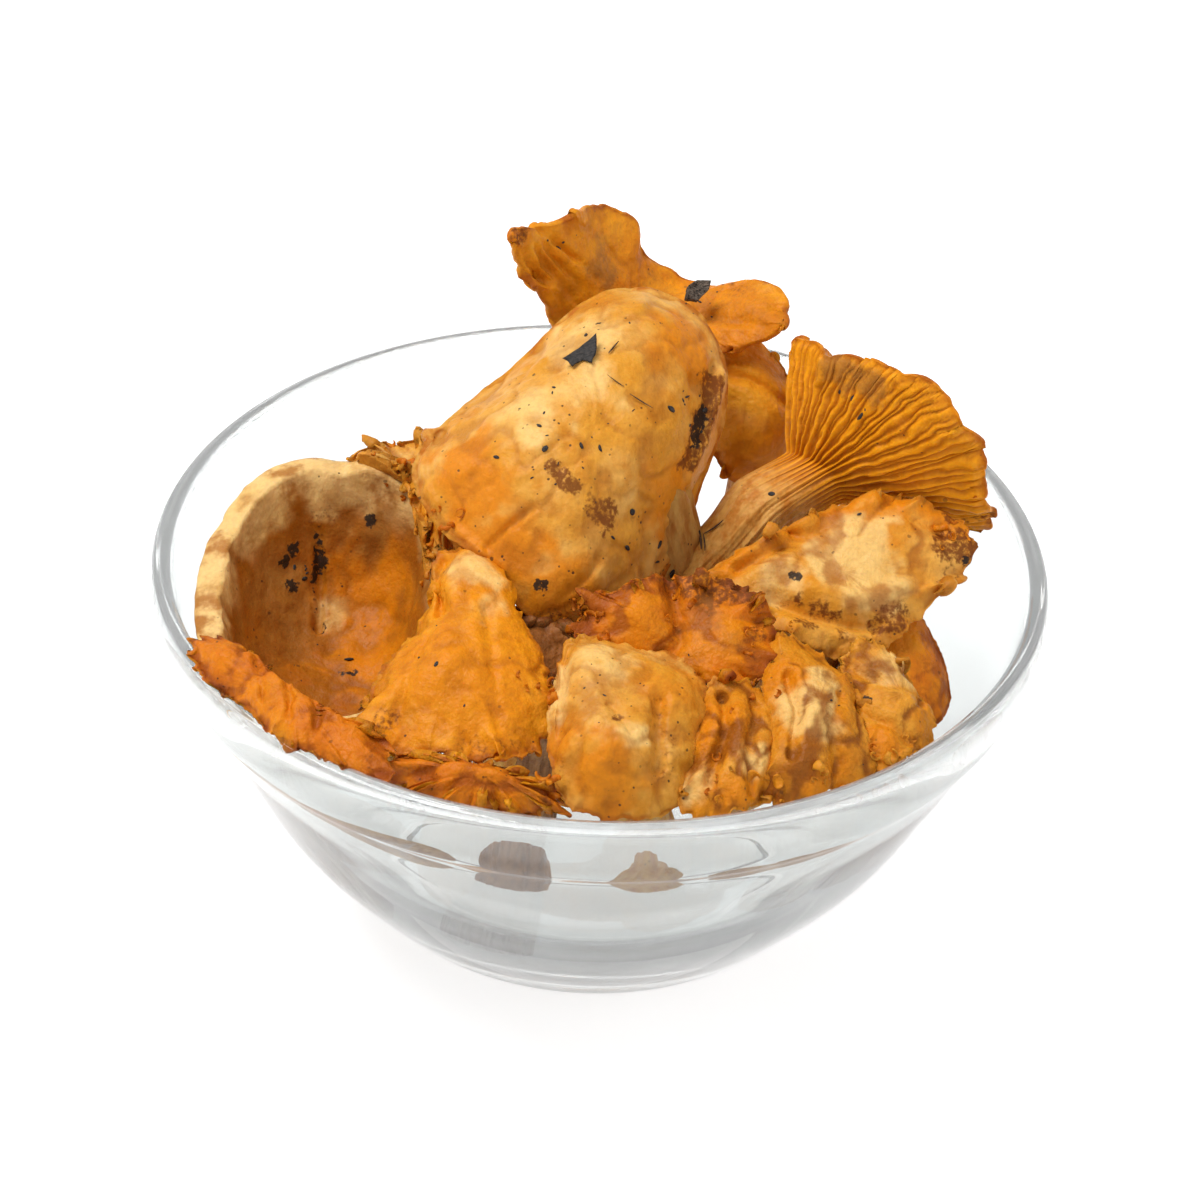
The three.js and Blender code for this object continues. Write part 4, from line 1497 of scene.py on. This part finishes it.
def left_mushrooms() -> list[Chanterelle]:
    """The cup, the gilled strip over the lip, the tongue and their neighbours.

    Returns:
        The mushrooms, back to front.
    """
    return [
        Chanterelle(
            "ruffled_chanterelle", "tan_flesh", TAN_FLESH,
            rim=[(-58, 16, 101), (-52, 20, 102), (-42, 22, 101), (-34, 16, 99), (-29, 2, 96),
                 (-30, -10, 94), (-36, -16, 92), (-40, -4, 95), (-48, 10, 100)],
            crown=(-40, 8, 100), power=1.8, flesh=(1.0, 4),
            stem=[(-39, 10, 86, 5.5), (-34, 16, 62, 6), (-26, 18, 36, 6)],
            frill=2.3, waves=11, frill_depth=0.7, fray=2.6, crumple=1.4, dried=0.12, seed=41,
            stains=[Stain(StainKind.ORANGE, (-38, -6, 96), 9, 0.8),
                    Stain(StainKind.CREAM, (-48, 14, 100), 10, 0.6),
                    Stain(StainKind.BROWN, (-56, 14, 99), 5, 0.7)],
        ),
        Chanterelle(
            "cup_chanterelle", "tan_flesh", SHADED_HOLLOW_FLESH,
            rim=[(-82, -27, 86), (-82, -12, 90), (-78, 0, 95), (-70, 8, 99), (-59, 10, 99),
                 (-48, 9, 98), (-40, 2, 95), (-37, -12, 93), (-36, -26, 89), (-39, -42, 87),
                 (-47, -57, 85), (-58, -64, 85), (-70, -55, 85), (-78, -42, 85)],
            crown=(-56, -20, 63), power=3.4, flesh=(5.6, 5),
            stem=[(-52, -17, 50, 8), (-44, -12, 36, 8), (-34, -6, 22, 8)],
            frill=1.0, waves=7, fray=0.15, crumple=0.8, dried=0.12, seed=42,
            creases=[
                Crease(((-63.7, 6.5, 85), (-62.9, 2.2, 75), (-62.5, -6, 68)), 1.1, 2.5),
                Crease(((-46, -14, 74), (-44, -12, 82), (-42, -10, 88)), 1.6, 2.0),
            ],
            stains=[
                Stain(StainKind.SOIL, (-63.7, 6.5, 85), 2.6, 1.0, to=(-62.9, 2.2, 75)),
                Stain(StainKind.SOIL, (-62.9, 2.2, 75), 1.9, 1.0, to=(-62.5, -6, 68)),
                Stain(StainKind.SOIL, (-68.8, 3.4, 82.5), 3.0, 1.0),
                Stain(StainKind.SOIL, (-68.8, -1.9, 75.3), 2.8, 1.0),
                Stain(StainKind.SOIL, (-70.7, 1.2, 80.7), 2.0, 1.0),
                Stain(StainKind.SOIL, (-52.1, 7.7, 88.1), 2.6, 1.0),
                Stain(StainKind.SOIL, (-57, -17.6, 64.1), 2.2, 1.0, to=(-54, -17.6, 64.1)),
                # The bruise patches paint the shade on the hollow's left inner wall; the orange
                # patches are partly the flesh's own orange and partly painted light on the lit
                # right inner wall.
                Stain(StainKind.BRUISE, (-72, -4, 78), 14, 0.9),
                Stain(StainKind.BRUISE, (-66.7, -6, 69.5), 13, 0.7),
                Stain(StainKind.BROWN, (-64, 7, 88), 5, 0.7, to=(-54, 8, 90)),
                Stain(StainKind.CREAM, (-60.3, -2.3, 70), 5, 0.8),
                Stain(StainKind.ORANGE, (-51.5, 0.3, 71.5), 14, 1.0),
                Stain(StainKind.ORANGE, (-50, -14, 66), 14, 1.0),
                Stain(StainKind.CREAM, (-76, 2, 96), 12, 0.9),
                Stain(StainKind.CREAM, (-58, 10, 99), 14, 0.9),
                Stain(StainKind.CREAM, (-40, -4, 92), 9, 0.8),
                Stain(StainKind.CREAM, (-82, -20, 88), 9, 0.8),
            ],
        ),
        Chanterelle(
            "tongue_chanterelle", "golden_flesh", GOLDEN_FLESH,
            rim=[(-36, -26, 101), (-29, -23, 104), (-21, -28, 103), (-16, -42, 98),
                 (-9, -56, 91), (-10, -68, 86), (-16, -75, 86), (-30, -75, 86), (-41, -73, 85),
                 (-50, -67, 85), (-47, -57, 89), (-40, -44, 94), (-36, -34, 97)],
            crown=(-28, -52, 100), power=2.1, flesh=(2, 7),
            stem=[(-26, -44, 84, 8), (-22, -34, 66, 8), (-16, -22, 40, 8)],
            frill=1.2, waves=9, fray=1.8, crumple=0.7, dried=0.07, seed=43,
            swells=[Swell((-30, -62, 97), 8, 2.0), Swell((-26, -34, 104), 7, 1.5)],
            creases=[
                Crease(((-34, -28, 103), (-35, -34, 101), (-34, -42, 100)), 1.8, 3.2),
                Crease(((-24, -44, 102), (-22, -58, 97), (-20, -70, 90)), 1.4, 1.2),
                Crease(((-36, -48, 99), (-39, -60, 94), (-42, -68, 89)), 1.4, 1.2),
            ],
            stains=[
                Stain(StainKind.BRUISE, (-36, -30, 101), 6, 0.8),
                Stain(StainKind.CREAM, (-27, -33, 105), 8, 1.0),
                Stain(StainKind.CREAM, (-24, -44, 102), 6, 0.6),
                Stain(StainKind.ORANGE, (-30, -60, 96), 16, 0.8),
                Stain(StainKind.BROWN, (-44, -68, 88), 6, 0.8),
                Stain(StainKind.BROWN, (-42, -58, 93), 5, 0.6),
                Stain(StainKind.BROWN, (-26, -74, 87), 5, 0.7, to=(-14, -73, 87)),
            ],
        ),
        Chanterelle(
            "gilled_strip_chanterelle", "orange_flesh", ORANGE_FLESH,
            rim=[(-88, -45, 90), (-78, -46, 91), (-68, -55, 90), (-58, -64, 90),
                 (-49, -71, 89), (-42, -76, 88), (-42, -84, 85), (-53, -81, 86),
                 (-64, -75, 86), (-74, -64, 87), (-84, -54, 88)],
            crown=(-63, -66, 93), power=1.8, flesh=(1.2, 2.2),
            stem=[(-62, -64, 82, 3.5), (-58, -58, 72, 4.5), (-50, -50, 62, 4.5)],
            frill=1.0, waves=12, frill_depth=0.5, fray=1.5, crumple=0.9, dried=0.2, seed=44,
            swells=[Swell((-80, -50, 92), 8, 2.0)],
            creases=[
                Crease(((-72, -54, 93), (-70, -62, 92), (-70, -70, 89)), 0.9, 1.4),
                Crease(((-66, -57, 93), (-64, -66, 93), (-64, -76, 89)), 0.9, 1.4),
                Crease(((-60, -60, 93), (-58, -70, 92), (-58, -80, 89)), 0.9, 1.4),
                Crease(((-54, -63, 92), (-51, -74, 92), (-51, -83, 89)), 0.9, 1.4),
                Crease(((-48, -68, 92), (-46, -76, 91), (-46, -84, 89)), 0.9, 1.4),
            ],
            stains=[
                Stain(StainKind.BROWN, (-46, -84, 88), 8, 0.9),
                Stain(StainKind.BROWN, (-87, -46, 90), 5, 0.8),
                Stain(StainKind.BROWN, (-72, -68, 89), 6, 0.6),
            ],
        ),
        Chanterelle(
            "bottom_frill_chanterelle", "orange_flesh", ORANGE_FLESH,
            rim=[(-43, -74, 83), (-32, -75, 85), (-19, -77, 85), (-11, -80, 84), (-4, -85, 80),
                 (-13, -87, 80), (-29, -85, 80), (-40, -81, 80)],
            crown=(-22, -83, 89), power=1.8, flesh=(1.0, 1.6),
            stem=[(-22, -81, 80, 2.5), (-21, -72, 72, 4), (-19, -58, 66, 4)],
            frill=1.6, waves=11, frill_depth=0.7, fray=2.2, crumple=0.9, dried=0.25, seed=45,
            stains=[Stain(StainKind.BROWN, (-6, -87, 87), 7, 0.9),
                    Stain(StainKind.BROWN, (-40, -80, 86), 6, 0.7),
                    Stain(StainKind.ORANGE, (-22, -84, 88), 12, 0.5)],
        ),
    ]


# ------------------------------------------------------------------ the bowl


@dataclass
class Bowl:
    """The turned glass bowl. Its radius and height are the CAD node's.

    Attributes:
        node: The CAD node that it stands for.
        lip: Width of the rounded lip.
        collar: Height of the stepped collar under the lip.
        collar_step: How far the collar stands out from the wall.
        collar_slope: Height of the slope from the step to the collar's face.
        foot: Outer radius of the foot ring.
        foot_width: Width of the foot ring.
        recess: How far the floor's underside lies above the foot ring.
        floor: Height of the floor's upper side.
        wall_outside: Radius and height of the outer wall, from the foot up.
        wall_inside: Radius and height of the inner wall, from the lip down.
        around: Facets round the axis.
    """

    node: str = "glass_bowl"
    lip: float = 4.4
    collar: float = 15.5
    collar_step: float = 1.6
    collar_slope: float = 5.0
    foot: float = 46.0
    foot_width: float = 4.0
    recess: float = 1.2
    floor: float = 5.5
    wall_outside: Profile = ((53, 4), (60.5, 12), (74.6, 30), (85.3, 50))
    wall_inside: Profile = ((92, 70), (82, 50), (71, 32), (57, 16), (42, 8.2), (28, 6))
    around: int = 576

    def __post_init__(self) -> None:
        """Take the radius and the height from the CAD node's box."""
        low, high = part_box(self.node)
        self.radius = (high[0] - low[0]) / 2 / MM
        self.height = (high[2] - low[2]) / MM

    def build(self) -> bpy.types.Object:
        """Turn the profile round the axis and dress the bowl.

        Returns:
            The bowl, on the CAD body and in place of its node.
        """
        profile = np.array(even_corners(self.outside()) + even_corners(self.inside()))[::-1]
        turn = TURN * np.arange(self.around) / self.around
        rings = np.stack([np.outer(profile[:, 0], np.cos(turn)),
                          np.outer(profile[:, 0], np.sin(turn)),
                          np.repeat(profile[:, 1:], self.around, axis=1)], axis=2)
        poles = (np.array([0.0, 0.0, self.floor]), np.array([0.0, 0.0, self.recess]))
        piece = make_object("clear_glass_bowl", [Skin(rings[1:-1], poles)])
        self.dress(piece)
        return piece

    def dress(self, piece: bpy.types.Object) -> None:
        """Give the bowl its glass and its place in the frame.

        Args:
            piece: The bowl.
        """
        piece.data.materials.append(GLASS.material())
        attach(piece, BODY)
        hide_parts(self.node)

    def outside(self) -> Profile:
        """The profile from under the floor out and up to the lip's top.

        Returns:
            Radius and height of each point.
        """
        foot = ((0, self.recess), (self.foot - self.foot_width, self.recess),
                (self.foot - self.foot_width / 2, 0), (self.foot, 0))
        neck = self.radius - self.lip
        step = self.height - self.collar
        collar = ((neck, step - 2), (neck + self.collar_step, step),
                  (self.radius - 0.8, step + self.collar_slope))
        lip = ((self.radius, self.height - 2.6), (self.radius - 0.7, self.height - 0.7),
               (self.radius - self.lip / 2, self.height))
        return foot + self.wall_outside + collar + lip

    def inside(self) -> Profile:
        """The profile from the lip's inner edge down to the middle of the floor.

        Returns:
            Radius and height of each point.
        """
        neck = self.radius - self.lip
        lip = ((neck + 0.1, self.height - 0.8), (neck - 0.4, self.height - 2.6))
        return lip + self.wall_inside + ((0, self.floor),)


def even_corners(points: Profile, steps: int = 6) -> list[Array]:
    """Ease a profile's corners with a curve through its points.

    Args:
        points: Radius and height of each point.
        steps: Points made for each span.

    Returns:
        The eased points.
    """
    flat = np.array([(r, z, 0.0) for r, z in points])
    return list(catmull_rom(flat, False, steps)[:, :2])


# ------------------------------------------------------------------ litter


@dataclass
class Scrap:
    """A small curled flake of leaf or bark on a cap.

    Attributes:
        name: The piece's name.
        node: The CAD node that it stands for, if it has one.
        slot: The record's material slot; not used.
        finish: Its look.
        at: Its middle.
        facing: The direction that its broad side faces.
        outline: Its corners in its own plane.
        thickness: Its thickness.
        curl: How far its ends lift.
    """

    name: str
    node: str | None
    slot: str
    finish: LitterFinish
    at: Point
    facing: Point
    outline: Sequence[tuple[float, float]]
    thickness: float
    curl: float

    RINGS = 7
    AROUND = 64

    def build(self) -> bpy.types.Object:
        """Make the flake as a thin closed skin and dress it.

        Returns:
            The flake, on the CAD body.
        """
        noise = Noise(len(self.name))
        flat = np.array([(x, y, 0.0) for x, y in self.outline])
        corners = np.vstack([flat, flat[:1]])
        edge = even_spread(corners, self.AROUND + 1, False)[:-1]
        steps = np.linspace(0.08, 1.0, self.RINGS)
        top = edge[None] * steps[:, None, None]
        lift = self.curl * (top[..., 0] / np.abs(flat[:, 0]).max()) ** 2
        ragged = noise(top * 1.0, 0.8, 2) * self.thickness * 0.35
        top = top * (1.0 + 0.08 * noise(top + 3.0, 1.2, 2))[..., None]
        top[..., 2] = lift + self.thickness / 2 + ragged
        bottom = top[::-1] - np.array([0.0, 0.0, self.thickness])
        rings = self._placed(np.concatenate([top, bottom]))
        poles = (rings[0].mean(axis=0), rings[-1].mean(axis=0))
        piece = make_object(self.name, [Skin(rings, poles)])
        piece.data.materials.append(self.finish.material())
        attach(piece, BODY)
        if self.node:
            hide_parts(self.node)
        return piece

    def _placed(self, rings: Array) -> Array:
        """Turn the flake to its facing and move it to its place.

        Args:
            rings: The flake's points in its own plane.

        Returns:
            The placed points.
        """
        up = Vector((0, 0, 1)).rotation_difference(Vector(self.facing).normalized())
        turn = np.array(up.to_matrix())
        return rings @ turn.T + np.array(self.at)


@dataclass
class Strewn:
    """Small torn curls or crumbs that lie on the caps.

    Attributes:
        name: The piece's name.
        slot: The record's material slot; not used.
        finish: Their look.
        spots: Middles of the patches, each with its spread and its number of bits.
        length: The shortest and longest bit.
        slim: Width and thickness, as shares of the length.
        bend: How far a bit curls, in turns.
        lift: How far a bit stands off the cap, as a share of its length.
        seed: Start of the random draws.
    """

    name: str
    slot: str
    finish: FleshFinish | LitterFinish
    spots: Sequence[tuple[Point, float, int]]
    length: tuple[float, float]
    slim: tuple[float, float]
    bend: float
    lift: float
    seed: int

    RINGS = 9
    AROUND = 10
    ABOVE = np.array([0.0, -0.57, 0.82])
    DROP = 40.0

    def __post_init__(self) -> None:
        """Start the random draws."""
        self.draw = np.random.default_rng(self.seed)
        self.noise = Noise(self.seed)

    def build(self, ground: BVHTree) -> bpy.types.Object:
        """Drop the bits on the caps and join them into one piece.

        Args:
            ground: The surface of all the mushrooms.

        Returns:
            The piece.
        """
        skins = []
        for middle, spread, count in self.spots:
            for _ in range(count):
                offset = self.draw.normal(0.0, spread / 2, 3)
                above = Vector((np.array(middle) + offset + self.DROP * self.ABOVE) * MM)
                spot, normal, _, _ = ground.ray_cast(above, Vector(-self.ABOVE))
                if spot is not None:
                    skins.append(self._bit(np.array(spot) / MM, np.array(normal)))
        piece = make_object(self.name, skins)
        piece.data.materials.append(self.finish.material())
        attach(piece, BODY)
        return piece

    def _bit(self, spot: Array, normal: Array) -> Skin:
        """One tapered, curled bit, half sunk in the cap.

        Args:
            spot: Where it lies.
            normal: The cap's normal there.

        Returns:
            The bit's skin, with blank stain masks.
        """
        low, high = self.length
        length = low * (high / low) ** (self.draw.uniform() ** 1.5)
        wide, thin = (share * length * self.draw.uniform(0.7, 1.3) for share in self.slim)
        along = unit(np.cross(normal, self.draw.normal(size=3)))
        up = unit(normal + self.draw.normal(0.0, 0.25, 3))
        side = unit(np.cross(along, up))
        up = np.cross(side, along)
        steps = np.linspace(0.0, 1.0, self.RINGS)
        angle = TURN * self.bend * self.draw.uniform(0.5, 1.2) * (steps - 0.4)
        radius = length / max(TURN * self.bend, 0.2)
        spine = (np.outer(np.sin(angle), along) + np.outer(1.0 - np.cos(angle), up)) * radius
        spine = spine + spot + up * length * self.lift
        lean = np.outer(np.cos(angle), up) - np.outer(np.sin(angle), along)
        turn = TURN * np.arange(self.AROUND) / self.AROUND
        taper = (np.sin(math.pi * np.clip(steps, 0.06, 0.94)) ** 0.5)[:, None, None]
        ring = (np.cos(turn)[None, :, None] * side * wide / 2
                + np.sin(turn)[None, :, None] * lean[:, None] * thin / 2)
        rough = 1.0 + 0.75 * self.noise(ring * 1.5 + spot, 0.2 * length, 2)[..., None]
        rings = spine[:, None] + ring * taper * rough
        shade = self.draw.uniform(0.2, 1.0)
        growth = np.zeros((*rings.shape[:2], 4))
        growth[...] = (self.draw.uniform(0.0, 0.5), shade, 1.0, 0.0)
        clean = np.zeros_like(growth)
        masks = {"growth": growth, "stains": clean, "spots": clean}
        return Skin(rings, (spine[0], spine[-1]), masks)


def litter() -> list[Scrap]:
    """The leaf scrap and the bark chip.

    Returns:
        The scraps.
    """
    return [
        Scrap("black_leaf_scrap", "leaf_scrap", "dark_leaf", LEAF, at=(-6.2, 5.2, 136.4),
              facing=(-0.1, -0.55, 0.83),
              outline=[(-4, -1.6), (-0.4, 1.2), (3.0, 4.2), (3.4, 0.6), (2.2, -2.6),
                       (0.2, -1.8), (-2.0, -3.2)],
              thickness=0.5, curl=0.7),
        Scrap("grey_bark_chip", "bark_chip", "bark", BARK, at=(18.6, 45.5, 129.0),
              facing=(0.2, -0.6, 0.7),
              outline=[(-2.4, -2.6), (0.6, -2.2), (2.6, 0.4), (2.8, 2.6), (-0.2, 2.4),
                       (-2.2, 0.6)],
              thickness=1.8, curl=1.2),
    ]


def strewn() -> list[Strewn]:
    """Torn curls of flesh, soil crumbs and needles.

    Returns:
        The groups of bits.
    """
    return [
        Strewn("torn_cream_curls", "cream_flesh", CRUSTY_FLESH,
               spots=[((36, -76, 86), 8, 4), ((46, -77, 82), 9, 5), ((61, -64, 84), 8, 4),
                      ((66, -55, 86), 7, 3), ((25, -81, 83), 6, 3), ((46, -33, 94), 7, 3)],
               length=(2.5, 7.0), slim=(0.32, 0.13), bend=0.7, lift=-0.04, seed=61),
        Strewn("torn_orange_curls", "orange_flesh", ORANGE_FLESH,
               spots=[((-3, -40, 101), 7, 10), ((16, -36, 103), 9, 5), ((36, -42, 97), 6, 5),
                      ((40, -60, 92), 9, 3), ((78, -10, 101), 6, 6), ((-37, -14, 99), 6, 10),
                      ((-46, 10, 99), 8, 6), ((-6, -84, 87), 7, 4), ((-14, -58, 92), 6, 5),
                      ((30, -80, 83), 8, 4), ((56, -70, 82), 8, 4), ((84, 0, 100), 6, 4)],
               length=(2.5, 7.0), slim=(0.3, 0.13), bend=0.7, lift=-0.02, seed=62),
        Strewn("soil_crumbs", "dark_leaf", LEAF,
               spots=[((-68, -2, 81), 5, 6), ((-62, -14, 70), 9, 5), ((-8, -14, 122), 12, 16),
                      ((17, 6, 121), 5, 10), ((2, 12, 133), 16, 9), ((8, -20, 107), 8, 9),
                      ((20, 46, 126), 8, 5), ((56, 2, 125), 18, 8), ((-30, -50, 100), 14, 4),
                      ((10, -66, 96), 16, 6), ((54, -56, 89), 14, 4), ((-10, 48, 137), 5, 5)],
               length=(0.5, 2.6), slim=(0.5, 0.3), bend=0.1, lift=0.02, seed=63),
        Strewn("pine_needles", "bark", NEEDLE,
               spots=[((24, -2, 96), 4, 3), ((2, -4, 129), 8, 3), ((-40, -44, 94), 12, 2)],
               length=(4.0, 7.0), slim=(0.08, 0.07), bend=0.05, lift=0.08, seed=64),
    ]


def surface_of(pieces: Sequence[bpy.types.Object]) -> BVHTree:
    """A tree of all the pieces' faces, for dropping bits on them.

    Args:
        pieces: The pieces.

    Returns:
        The tree.
    """
    points: list[Vector] = []
    faces: list[tuple[int, ...]] = []
    for piece in pieces:
        start = len(points)
        points.extend(vertex.co.copy() for vertex in piece.data.vertices)
        faces.extend(tuple(start + i for i in face.vertices) for face in piece.data.polygons)
    return BVHTree.FromPolygons(points, faces)


# ------------------------------------------------------------------ the studio


@dataclass(frozen=True)
class Softbox:
    """A square area light: its place and side in metres, and its power in watts."""

    name: str
    at: Point
    size: float
    power: float


@dataclass
class Studio:
    """Pale floor, soft lights and the camera.

    Attributes:
        distance: From the camera to the middle of the heap, in metres.
        elevation: The camera's height above the level, in degrees.
        roll: The camera's lean, in degrees.
        aim: The point that the camera looks at.
        lens: Focal length in millimetres, for a sensor 36 mm wide.
        horizon: Brightness of the surroundings at eye level.
        sky: Brightness of the surroundings overhead.
        band: Where the brightness starts and ends its change, from level (0) to overhead (1).
        floor_reach: From the middle of the floor to its edges, in metres.
        floor_glow: How much light the floor gives off, which keeps it pale.
        softboxes: The lights.
    """

    distance: float = 1.0
    elevation: float = 34.95
    roll: float = 2.67
    aim: Point = (0.23, 0.0, 74.61)
    lens: float = 133.6
    horizon: float = 0.7
    sky: float = 0.42
    band: tuple[float, float] = (0.05, 0.6)
    floor_reach: float = 12.0
    floor_glow: float = 0.76
    softboxes: tuple[Softbox, ...] = (
        Softbox("key_softbox", (-0.5, -0.05, 1.2), 0.6, 13.8),
        Softbox("fill_softbox", (0.9, -0.5, 0.8), 0.7, 2.2),
    )

    def build(self) -> None:
        """Set up the floor, the lights, the world and the camera."""
        self.floor()
        self.world()
        self.lights()
        self.camera()

    def floor(self) -> None:
        """A wide pale floor under the foot ring."""
        mesh = bpy.data.meshes.new("pale_floor")
        reach = self.floor_reach
        corners = [(-reach, -reach, 0), (reach, -reach, 0), (reach, reach, 0), (-reach, reach, 0)]
        mesh.from_pydata(corners, [], [(0, 1, 2, 3)])
        floor = bpy.data.objects.new("pale_floor", mesh)
        bpy.context.scene.collection.objects.link(floor)
        shader = Shader("pale_floor")
        mesh.materials.append(shader.finish(
            Base_Color=(0.6, 0.6, 0.6), Roughness=0.9, Specular_IOR_Level=0.1,
            Emission_Color=(1.0, 1.0, 1.0), Emission_Strength=self.floor_glow,
        ))

    def world(self) -> None:
        """A white sky over a grey band near the horizon, which draws the glass's edges."""
        world = bpy.data.worlds.new("soft_white")
        world.use_nodes = True
        tree = Tree(world.node_tree)
        place = tree.node("ShaderNodeTexCoord", {}, {}).outputs["Generated"]
        height = tree.node("ShaderNodeSeparateXYZ", {}, {0: place}).outputs["Z"]
        stops = ((self.band[0], (self.horizon,) * 3), (self.band[1], (self.sky,) * 3))
        ramp = tree.node("ShaderNodeValToRGB", {"stops": stops}, {0: height})
        tree.feed(world.node_tree.nodes["Background"].inputs["Color"], ramp.outputs["Color"])
        bpy.context.scene.world = world
        bpy.context.scene.view_settings.view_transform = "Standard"

    def lights(self) -> None:
        """A large soft box overhead to the left and a weaker one at the right, both aimed."""
        for box in self.softboxes:
            light = bpy.data.lights.new(box.name, "AREA")
            light.shape = "SQUARE"
            light.size = box.size
            light.energy = box.power
            lamp = bpy.data.objects.new(box.name, light)
            lamp.location = box.at
            aim = Vector(self.aim) * MM - Vector(box.at)
            lamp.rotation_euler = aim.to_track_quat("-Z", "Y").to_euler()
            bpy.context.scene.collection.objects.link(lamp)

    def camera(self) -> None:
        """The camera, looking along +Y and down on the bowl."""
        data = bpy.data.cameras.new("camera")
        data.lens = self.lens
        data.sensor_width = 36.0
        camera = bpy.data.objects.new("camera", data)
        tilt = math.radians(self.elevation)
        lean = math.radians(self.roll)
        back = Vector((0.0, -math.cos(tilt), math.sin(tilt)))
        right = Vector((1.0, 0.0, 0.0))
        up = back.cross(right)
        turned_right = math.cos(lean) * right + math.sin(lean) * up
        turned_up = back.cross(turned_right)
        matrix = Matrix((turned_right, turned_up, back)).transposed().to_4x4()
        matrix.translation = Vector(self.aim) * MM + back * self.distance
        camera.matrix_world = matrix
        bpy.context.scene.collection.objects.link(camera)
        bpy.context.scene.camera = camera


# ------------------------------------------------------------------ assembly


def report(piece: bpy.types.Object) -> None:
    """Log one finished piece."""
    LOG.info("%s: %d points", piece.name, len(piece.data.vertices))


def main() -> None:
    """Build every piece in order, from the bowl inwards."""
    logging.basicConfig(level=logging.INFO, format="%(message)s")
    Studio().build()
    report(Bowl().build())
    heap = middle_mushrooms() + right_mushrooms() + front_mushrooms() + left_mushrooms()
    grown = [mushroom.build() for mushroom in heap]
    for piece in grown:
        report(piece)
    for scrap in litter():
        report(scrap.build())
    ground = surface_of(grown)
    for bits in strewn():
        report(bits.build(ground))


if __name__ == "__main__":
    main()
